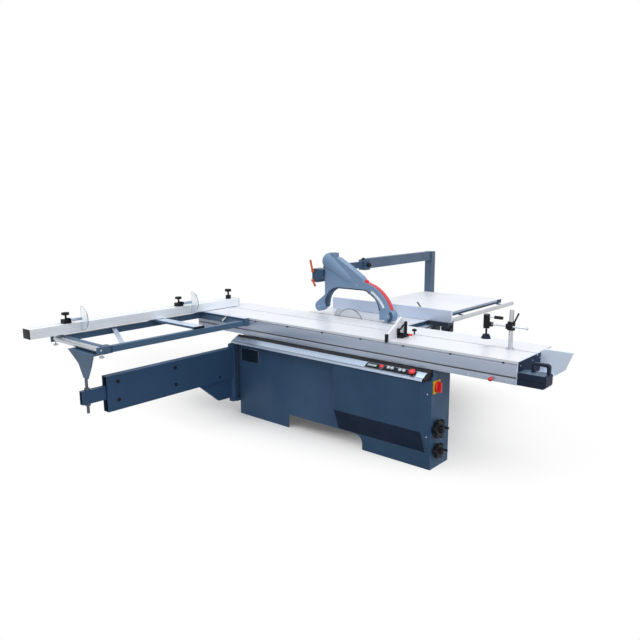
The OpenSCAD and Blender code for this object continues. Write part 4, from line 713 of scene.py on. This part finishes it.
@dataclass
class SlidingTable(SubAssembly):
    """Side and end fittings of the carriage, with its edging shoe and hold-down."""

    home: ClassVar[str] = "carriage"
    near: float = -0.594
    end: float = 1.6
    plug_x: float = -0.0415
    pitch: float = 0.386
    side_slot_z: float = 0.8775
    shade_facing_z: tuple[Flat, Flat] = ((0.7442, 0.7800), (0.7972, 0.8700))
    screw_x: tuple[float, ...] = (-1.535, -0.46, 0.46, 1.262, 1.535)
    tray_screw_y: Point = (-0.555, -0.36, -0.25)
    tray_y: float = -0.226
    tray_z: Flat = (0.768, 0.8965)
    slot_y: float = -0.280
    slot_room: Flat = (0.010, 0.012)
    lip: Flat = (0.180, 0.105)
    shoe_strip: Block = ((0.5822, -0.6070, 0.8850), (0.6018, -0.5845, 0.9470))
    shoe_foot: Block = ((0.6015, -0.4748, 0.9008), (0.6438, -0.3632, 0.9208))
    shoe_jaw: Block = ((0.6015, -0.4748, 0.9150), (0.6122, -0.4440, 0.9720))
    shoe_lever: tuple[Point, ...] = ((0.6135, -0.4460, 0.962), (0.6200, -0.4200, 0.988), (0.627, -0.3960, 1.010))
    shoe_post: Point = (0.627, -0.394, 0.9205)
    shoe_knob_x: float = 0.634
    shoe_tip: Point = (0.690, -0.4407, 0.931)
    head: Flat = (1.242, -0.3085)
    head_z: Point = (1.0303, 1.063, 1.115)

    def strip(self, shape: Shape, depth: Flat, height: Flat, bevel: float = 0.0002) -> Shape:
        """Adds a strip along the carriage's near side, by its depth from that side and its height."""
        x = self.end - 0.001
        return shape.box((-x, self.near + depth[0], height[0]), (x, self.near + depth[1], height[1]), bevel)

    def build(self) -> None:
        """Builds the plugs, the facings and slot floor of painted shade on the side, the screws and the tray fittings.
        """
        plug = [(0.001, 0), (0.0063, 0), (0.0063, 0.0105), (0.005, 0.0125), (0.001, 0.0125)]
        plugs, screws, bolts, facings = Shape(), Shape(), Shape(), Shape()
        for i in range(-4, 5):
            place = (self.plug_x + i * self.pitch, self.near + 0.0115, self.side_slot_z)
            plugs.turned(plug, place, (0, -1, 0), 16)
        self.fit("slot_plugs", Coat.BLACK, plugs)
        # Painted shade: a strip in the shaded side colour darkens the floor of the side slot.
        self.fit("side_slot_floor_shade", Coat.SIDE_SHADE, self.strip(Shape(), (0.0108, 0.0125), (0.8712, 0.8838), 0.0004))
        self.fit("side_line", Coat.ROD, self.strip(Shape(), (0.0050, 0.0065), (0.7820, 0.7950)))
        # Painted shade: facings in the darker side colour over the carriage's near side, which lies in shade while the
        # top is lit.
        for height in self.shade_facing_z:
            self.strip(facings, (-0.0004, 0.0004), height)
        self.fit("side_shade_facings", Coat.SIDE_SHADE, facings)
        for x in self.screw_x:
            screws.screw((x, self.near, 0.757), (0, -1, 0), 0.007)
        self.fit("carriage_screws", Coat.STEEL, screws)
        for y in self.tray_screw_y:
            bolts.screw((self.end + 0.006, y, 0.865), X_AXIS)
        self.fit("tray_screws", Coat.STEEL, bolts)
        (low, high), slot, (half, deep), near = self.tray_z, self.slot_y, self.slot_room, self.near + 0.002
        trim = [(near, low), (self.tray_y, low), (self.tray_y, high), (slot + half, high),
                (slot + half, high - deep), (slot - half, high - deep), (slot - half, high), (near, high)]
        self.fit("tray_back_trim", Coat.DARK_SLATE_AND_SHADE, Shape().prism(trim, "x", self.end + 0.0062, self.end + 0.0082, 0.0006))
        self.fit("bumper_lip", Coat.BOOM, Shape().box(
            (self.end + 0.008, self.near - 0.0035, 0.8305),
            (self.end + self.lip[0], self.near + self.lip[1], 0.8325), 0.0009))
        self.edging_shoe()
        self.hold_down()

    def edging_shoe(self) -> None:
        """Covers the shoe's clamp and tips its lever."""
        self.fit("shoe_end_strip", Coat.BLACK, Shape().box(*self.shoe_strip, 0.003), "edging_shoe")
        clamp = Shape().box(*self.shoe_foot, 0.003).box(*self.shoe_jaw, 0.003).rod(self.shoe_lever, 0.0055)
        clamp.shell(0.0118, (0.0, 0.0985), self.shoe_post, Z_AXIS)
        knob = (self.shoe_knob_x, self.slot_y)
        clamp.shell(0.006, (0.0, 0.030), (*knob, 0.9006), Z_AXIS).star(knob, 0.021, (0.928, 0.943), 3)
        self.fit("shoe_clamp_cover", Coat.BLACK, clamp, "edging_shoe")
        self.fit("shoe_lever_tip", Coat.RED, Shape().shell(0.0085, (-0.004, 0.024), self.shoe_tip, (1, 0.14, 0)),
                 "shoe_lever")

    def hold_down(self) -> None:
        """Covers the hold-down's screw head, hub and grip."""
        (x, y), (low, hub, grip) = self.head, self.head_z
        cover = Shape().shell(0.0226, (0.0, 0.1014), (x, y, low), Z_AXIS)
        cover.shell(0.0176, (0.0, 0.0466), (x, y, hub), X_AXIS)
        cover.shell(0.0116, (0.0, 0.0612), (x + 0.0576, y, grip), X_AXIS)
        self.fit("hold_down_cover", Coat.BLACK, cover, "clamp_rod")


@dataclass
class Guard(SubAssembly):
    """Trim of the guard hood, the blade's rim and the covers of the hood's carrier."""

    home: ClassVar[str] = "guard_hood"
    blade: Flat = (-0.210, 0.900)
    nose: Flat = (0.118, -0.020)
    nose_r: float = 0.352
    half: float = 0.035
    proud: float = 0.003
    cap: Flat = (0.174, 0.322)
    shoe: Flat = (0.425, 0.060)
    screw_places: tuple[Flat, ...] = ((-0.235, 0.44), (-0.235, 0.23), (0.10, 0.30), (0.29, 0.17), (0.425, 0.06),
                                      (-0.335, 0.074))
    arbor_z: float = 0.829
    knuckle: Block = ((-0.603, -0.058, 1.3098), (-0.477, 0.048, 1.316))
    collar: Block = ((-0.5862, 0.619, 1.2508), (-0.5038, 0.701, 1.3512))
    collar_t: float = 0.0012

    def at(self, *flats: Flat) -> list[Flat]:
        """Points of the hood's own outline, in the machine's X and Z."""
        return [(self.blade[0] + x, self.blade[1] + z) for x, z in flats]

    def band(self, inner: float, outer: float, span: Flat) -> list[Flat]:
        """Outline of a curved band along the nose, by its distances from the nose's radius and its angles."""
        start, end = span
        return self.at(*arc(self.nose, self.nose_r + outer, start, end),
                       *arc(self.nose, self.nose_r + inner, end, start))

    def build(self) -> None:
        """Builds the red strip, cap, ribs, white stripes of painted highlight, rim, screws and the blade's rim."""
        self.fit("hood_red_strip", Coat.RED,
                 Shape().prism(self.band(-0.002, 0.005, (78, 22)), "y", -0.014, 0.020, 0.0015))
        x, z = self.at(self.cap)[0]
        cap = [(0.003, 0.0), (0.020, 0.0), (0.0215, 0.010), (0.019, 0.022), (0.012, 0.029), (0.003, 0.031)]
        self.fit("hood_red_cap", Coat.RED, Shape().turned(cap, (x, 0.0, z), (0.55, 0.0, 0.83)))
        highlight, ribs, rim, shoe, screws = Shape(), Shape(), Shape(), Shape(), Shape()
        arch = self.at(*arc((-0.100, 0.100), 0.160, 178, 95, 20), *arc((0.150, 0.070), 0.193, 86, 8, 20))
        for side in (-1, 1):
            wall = side * self.half
            y = sorted((wall, wall + side * self.proud))
            ribs.prism(self.band(-0.075, -0.057, (70, 22)), "y", *y)
            highlight.prism(self.band(-0.056, -0.036, (64, 29)), "y", *y)
            shoe.prism(self.at(*arc(self.shoe, 0.0526, 62, -88), *arc(self.shoe, 0.026, -88, 62)), "y", *y)
            rim.rod([(px, wall, pz) for px, pz in arch], 0.0048, 8)
        self.fit("hood_nose_ribs", Coat.HOOD, ribs)
        # Painted highlight: white bands on the nose's sides stand in for its bright sheen.
        self.fit("hood_nose_highlights", Coat.LIGHT, highlight)
        self.fit("hood_shoe_cheeks", Coat.KNUCKLE, shoe)
        self.fit("hood_arch_rim", Coat.BASE, rim)
        for x, z in self.at(*self.screw_places):
            for side in (-1, 1):
                screws.screw((x, side * self.half, z), (0, side, 0))
        self.fit("hood_screws", Coat.STEEL, screws)
        teeth = [(0.1440, -0.0021), (0.1494, -0.0021), (0.1494, 0.0021), (0.1440, 0.0021)]
        self.fit("blade_rim", Coat.ROD, Shape().turned(teeth, (self.blade[0], 0.0, self.arbor_z), Y_AXIS, 96,
                                                       hollow=True), "arbor_unit")
        self.carrier()

    def carrier(self) -> None:
        """Covers the knuckle's top and the boom's collar, and adds the collar's knobs."""
        self.fit("knuckle_top", Coat.BOOM, Shape().box(*self.knuckle, 0.002), "guard_arm")
        (x0, y0, z0), (x1, y1, z1) = self.collar
        collar, t = Shape(), self.collar_t
        for x in (x0, x1 - t):
            collar.box((x, y0, z0 + 0.0002), (x + t, y1, z1 - 0.0002), 0.0004)
        for z in (z0, z1 - t):
            collar.box((x0, y0, z), (x1, y1, z + t), 0.0004)
        self.fit("collar_cover", Coat.KNUCKLE, collar, "base")
        knobs = Shape().shell(0.021, (0.0, 0.030), (x1, 0.662, 1.300), X_AXIS)
        knobs.shell(0.012, (0.0, 0.020), (-0.545, 0.640, z1), Z_AXIS)
        self.fit("collar_knobs", Coat.BLACK, knobs, "base")


@dataclass
class Outrigger(SubAssembly):
    """Caps, scale and bolts of the outrigger, its fence and its stops."""

    home: ClassVar[str] = "outrigger"
    fence_x: Flat = (-1.570, -1.462)
    fence_y: Flat = (-2.285, -0.190)
    fence_z: Flat = (0.905, 0.980)
    scale_gap: float = 0.15
    scale_marks: int = 192
    scale_pitch: float = 0.01
    bolts: tuple[Point, ...] = ((-1.545, -0.62, 0.832), (-0.925, -0.62, 0.832), (-1.19, -2.02, 0.824),
                                (-0.99, -2.02, 0.824))
    brace: tuple[Flat, Flat] = ((-1.5248, -1.5471), (-0.9452, -1.8339))
    brace_reach: float = 0.0206
    brace_z: Flat = (0.8654, 0.8746)
    corner: Block = ((-0.985, -2.0135, 0.8300), (-0.8995, -1.9450, 0.8835))
    grip_x: Flat = (-1.572, -0.898)
    roller_y: float = -2.040
    end_plate: Block = ((-1.606, -0.644, 0.8995), (-0.894, -0.600, 0.9012))
    cross_x: Flat = (-1.5754, -0.9250)
    cross_y: Flat = (-1.172, -1.072)
    stops: tuple[tuple[str, float], ...] = (("outer_stop", -1.969), ("inner_stop", -0.880))

    def build(self) -> None:
        """Builds the frame's bolts, strips, grips and caps."""
        self.fence()
        bolts, grips, ends = Shape(), Shape(), Shape()
        for place in self.bolts:
            bolts.bolt(place, (0, 0, -1), 0.008)
        self.fit("outrigger_bolts", Coat.STEEL, bolts)
        reach, ((x0, y0), (x1, y1)) = self.brace_reach, self.brace
        brace = [(x0, y0 - reach), (x1, y1 - reach), (x1, y1 + reach), (x0, y0 + reach)]
        self.fit("brace_strip", Coat.STRIP, Shape().prism(brace, "z", *self.brace_z, 0.0008))
        self.fit("roller_corner_block", Coat.KNUCKLE, Shape().box(*self.corner, 0.004))
        for x in self.grip_x:
            grips.star((x, self.roller_y), 0.019, (0.806, 0.820))
            grips.shell(0.005, (0.0, 0.020), (x, self.roller_y, 0.8185), Z_AXIS)
        self.fit("roller_grips", Coat.STEEL, grips)
        self.fit("frame_end_plate", Coat.RIP, Shape().box(*self.end_plate, 0.0006))
        x0, x1, y0, y1 = *self.cross_x, *self.cross_y
        self.fit("cross_top_plate", Coat.RIP, Shape().box(
            (x0 + 0.012, y0 + 0.004, 0.8978), (x1 - 0.012, y1 - 0.004, 0.8995), 0.0006), "cross_support")
        for a, b in ((x0 - 0.003, x0 + 0.012), (x1 - 0.012, x1 + 0.003)):
            ends.box((a, y0 - 0.002, 0.8795), (b, y1 + 0.002, 0.8992), 0.002)
        self.fit("cross_end_caps", Coat.BLACK, ends, "cross_support")
        for stop, y in self.stops:
            sleeve = Shape().box((-1.4668, y + 0.006, 1.0002), (-1.4432, y + 0.0945, 1.0238), 0.002)
            self.fit(f"{stop}_sleeve", Coat.STRIP, sleeve, stop)

    def fence(self) -> None:
        """Builds the fence's caps and its scale."""
        caps, ticks, fence = Shape(), Shape(), "crosscut_fence"
        (low, high), (start, end), (z0, z1) = self.fence_x, self.fence_y, self.fence_z
        for a, b in ((start - 0.004, start), (end, end + 0.004)):
            caps.box((low, a, z0), (high, b, z1), 0.0015)
        self.fit("fence_end_caps", Coat.BLACK, caps, fence)
        self.fit("fence_scale", Coat.LIGHT, Shape().box(
            (low + 0.004, start + 0.02, z1), (low + 0.020, end - 0.14, z1 + 0.0006), 0.0002), fence)
        for i in range(self.scale_marks):
            x, y = low + 0.005, end - self.scale_gap - i * self.scale_pitch
            length = 0.014 if i % 10 == 0 else (0.010 if i % 5 == 0 else 0.006)
            ticks.box((x, y - 0.0005, z1 + 0.0004), (x + length, y + 0.0005, z1 + 0.0009), 0.0)
        self.fit("fence_scale_ticks", Coat.BLACK, ticks, fence)


@dataclass
class SupportArm(SubAssembly):
    """Bolts of the swinging support arm and the cap of its hinge."""

    x: float = -1.050
    half: float = 0.0365
    bolt_y: Flat = (-1.850, -1.317)
    bolt_z: Flat = (0.5704, 0.4256)
    hinge: Flat = (-0.660, 0.653)

    def build(self) -> None:
        """Builds the guide bolts and the hinge's cap."""
        bolts = Shape()
        for y in self.bolt_y:
            for z in self.bolt_z:
                for side in (-1, 1):
                    bolts.bolt((self.x + side * self.half, y, z), (side, 0, 0), 0.011)
        self.fit("arm_bolts", Coat.BLACK, bolts, "swing_arm")
        cap = [(0.002, 0.0), (0.019, 0.0), (0.019, 0.006), (0.012, 0.011), (0.002, 0.012)]
        self.fit("hinge_cap", Coat.BLACK, Shape().turned(cap, (self.x, *self.hinge), Z_AXIS))


@dataclass
class RipFence(SubAssembly):
    """End caps and lever of the rip fence, caps of its rail, trims of the tables' edges and a strip of painted shade on
    one edge.
    """

    x: Flat = (-0.662, 0.618)
    y: Flat = (0.311, 0.339)
    z: Flat = (0.902, 1.004)
    slot: Flat = (0.0095, 0.0050)
    clear: float = 0.0008
    lever: tuple[Point, ...] = ((0.300, 0.345, 0.985), (0.300, 0.352, 1.000), (0.262, 0.356, 1.040))
    lever_foot: Block = ((0.285, 0.339, 0.965), (0.315, 0.352, 0.992))
    rail: Flat = (0.438, 0.850)
    rail_y: Flat = (0.060, 1.955)
    trims: tuple[Block, ...] = (((0.3500, 0.702, 0.8605), (0.3522, 1.878, 0.8795)),
                                ((0.3500, 1.7702, 0.8797), (0.3522, 1.878, 0.8985)),
                                ((0.3960, 0.010, 0.864), (0.3976, 0.698, 0.896)))
    edge_strip: Block = ((0.3500, 0.702, 0.8797), (0.3526, 1.770, 0.8985))

    def build(self) -> None:
        """Builds the caps, the clamp lever, the rail's end plugs, the edge trims and an edge strip of painted shade."""
        caps, trims = Shape(), Shape()
        (y0, y1), (z0, z1), (deep, room) = self.y, self.z, self.slot
        mid, z0 = (z0 + z1) / 2, z0 + self.clear
        outline = [(y0, z0), (y1, z0), (y1, mid - room), (y1 - deep, mid - room), (y1 - deep, mid + room),
                   (y1, mid + room), (y1, z1), (y0, z1)]
        for a, b in ((self.x[0] - 0.004, self.x[0]), (self.x[1], self.x[1] + 0.004)):
            caps.prism(outline, "x", a, b, 0.0008)
        self.fit("rip_end_caps", Coat.RIP, caps, "rip_fence")
        self.fit("rip_slot_lever", Coat.BLACK, Shape().rod(self.lever, 0.006).box(*self.lever_foot, 0.003), "rip_fence")
        plug = [(0.002, 0.0), (0.0195, 0.0), (0.0195, 0.004), (0.016, 0.007), (0.002, 0.0075)]
        (x, z), (start, end) = self.rail, self.rail_y
        self.fit("rip_rail_plugs", Coat.BLACK,
                 Shape().turned(plug, (x, end, z), Y_AXIS).turned(plug, (x, start, z), (0, -1, 0)))
        for block in self.trims:
            trims.box(*block, 0.0006)
        self.fit("table_edge_trims", Coat.ARM, trims)
        # Painted shade: the darker side copy of the aluminium on the table's edge face.
        self.fit("table_edge_shade_strip", Coat.SIDE_SHADE, Shape().box(*self.edge_strip, 0.0008))


@dataclass
class Studio:
    """Floor, lamps, surroundings and camera."""

    eye: Point = (3.19145, -4.39336, 1.90035)
    azimuth: float = 40.53
    down: float = 10.45
    roll: float = -0.26
    lens: float = 35.56
    lit: float = 0.6
    floor_half: float = 40.0
    bounce: Colour = (0.15, 0.15, 0.155, 1)
    pale: Colour = (0.97, 0.97, 0.97, 1)
    oval_scale: Point = (0.55, 1.05, 1.0)
    oval_shift: Point = (0.55, -0.33, 0.0)
    fade: Flat = (0.95, 1.65)
    lamps: tuple[tuple[str, Point, Point, float, float], ...] = (
        ("key", (-2.0, -4.5, 5.5), (0, -0.4, 0.6), 4.0, 80.0),
        ("fill", (5.5, -2.5, 3.5), (0, -0.4, 0.6), 3.5, 100.0),
        ("top", (0.0, 0.5, 6.0), (0, 0, 0.8), 5.0, 140.0))

    def floor(self) -> None:
        """Lays a pale floor that keeps the machine's shadow and fades to white round it."""
        data, h = bpy.data.meshes.new("floor"), self.floor_half
        data.from_pydata([(-h, -h, 0), (h, -h, 0), (h, h, 0), (-h, h, 0)], [], [(0, 1, 2, 3)])
        made = bpy.data.objects.new("floor", data)
        bpy.context.scene.collection.objects.link(made)
        paint = bpy.data.materials.new("studio_floor")
        paint.use_nodes = True
        graph = Graph(paint.node_tree)
        seen = self.seen(graph)
        matte = graph.node("ShaderNodeBsdfDiffuse", {0: graph.mix(seen, self.bounce, self.pale)})
        glow = graph.node("ShaderNodeEmission", {0: WHITE_LIGHT})
        oval = graph.node("ShaderNodeVectorMath", {0: graph.here(), 1: self.oval_scale, 2: self.oval_shift},
                          operation="MULTIPLY_ADD")
        far = graph.node("ShaderNodeVectorMath", {0: oval.outputs[0]}, operation="LENGTH").outputs["Value"]
        share = graph.math("MULTIPLY", seen, graph.spread(far, 0.10, 1.0, self.fade))
        blend = graph.node("ShaderNodeMixShader", {0: share, 1: matte.outputs[0], 2: glow.outputs[0]})
        graph.node("ShaderNodeOutputMaterial", {0: blend.outputs[0]})
        data.materials.append(paint)

    @staticmethod
    def seen(graph: Graph) -> Socket:
        """One where a ray comes from the camera, a mirror or glass."""
        path = graph.node("ShaderNodeLightPath").outputs
        return graph.math("MAXIMUM", graph.math("MAXIMUM", path["Is Camera Ray"], path["Is Glossy Ray"]),
                          path["Is Transmission Ray"])

    def surroundings(self) -> None:
        """Sets a white backdrop and a soft even light."""
        world = bpy.data.worlds.new("studio")
        world.use_nodes = True
        graph = Graph(world.node_tree)
        share = graph.math("MULTIPLY", self.seen(graph), 1 - self.lit)
        backdrop = graph.node("ShaderNodeBackground", {0: WHITE_LIGHT, 1: graph.math("ADD", self.lit, share)})
        graph.node("ShaderNodeOutputWorld", {0: backdrop.outputs[0]})
        bpy.context.scene.world = world

    @staticmethod
    def lamp(name: str, place: Point, aim: Point, size: float, power: float) -> None:
        """Hangs one soft lamp.

        Args:
            name: Its name.
            place: Where it hangs.
            aim: The point it faces.
            size: Side of its square.
            power: Watts.
        """
        data = bpy.data.lights.new(name, "AREA")
        data.size, data.energy = size, power
        made = bpy.data.objects.new(name, data)
        made.location = place
        made.rotation_euler = (Vector(aim) - Vector(place)).to_track_quat("-Z", "Y").to_euler()
        bpy.context.scene.collection.objects.link(made)

    def camera(self) -> None:
        """Sets the camera where the photograph was taken from."""
        a, e = math.radians(self.azimuth), math.radians(self.down)
        ahead = Vector((-math.sin(a) * math.cos(e), math.cos(a) * math.cos(e), -math.sin(e)))
        data = bpy.data.cameras.new("camera")
        data.lens, data.sensor_width = self.lens, 36.0
        made = bpy.data.objects.new("camera", data)
        made.location = self.eye
        turn = ahead.to_track_quat("-Z", "Y").to_matrix().to_4x4()
        made.rotation_euler = (turn @ Matrix.Rotation(math.radians(self.roll), 4, "Z")).to_euler()
        bpy.context.scene.collection.objects.link(made)
        bpy.context.scene.camera = made

    def build(self) -> None:
        """Sets up the whole stage."""
        bpy.context.scene.view_settings.view_transform = "Standard"
        self.floor()
        self.surroundings()
        for lamp in self.lamps:
            self.lamp(*lamp)
        self.camera()


def main() -> None:
    """Dresses the solids, adds the fittings and sets the stage."""
    logging.basicConfig(level=logging.INFO, format="%(name)s: %(message)s")
    dress_solids()
    for kind in (Cabinet, RearBase, Console, SlidingTable, Guard, Outrigger, SupportArm, RipFence):
        kind().build()
        LOG.info("built %s", kind.__name__)
    Studio().build()


if __name__ == "__main__":
    main()
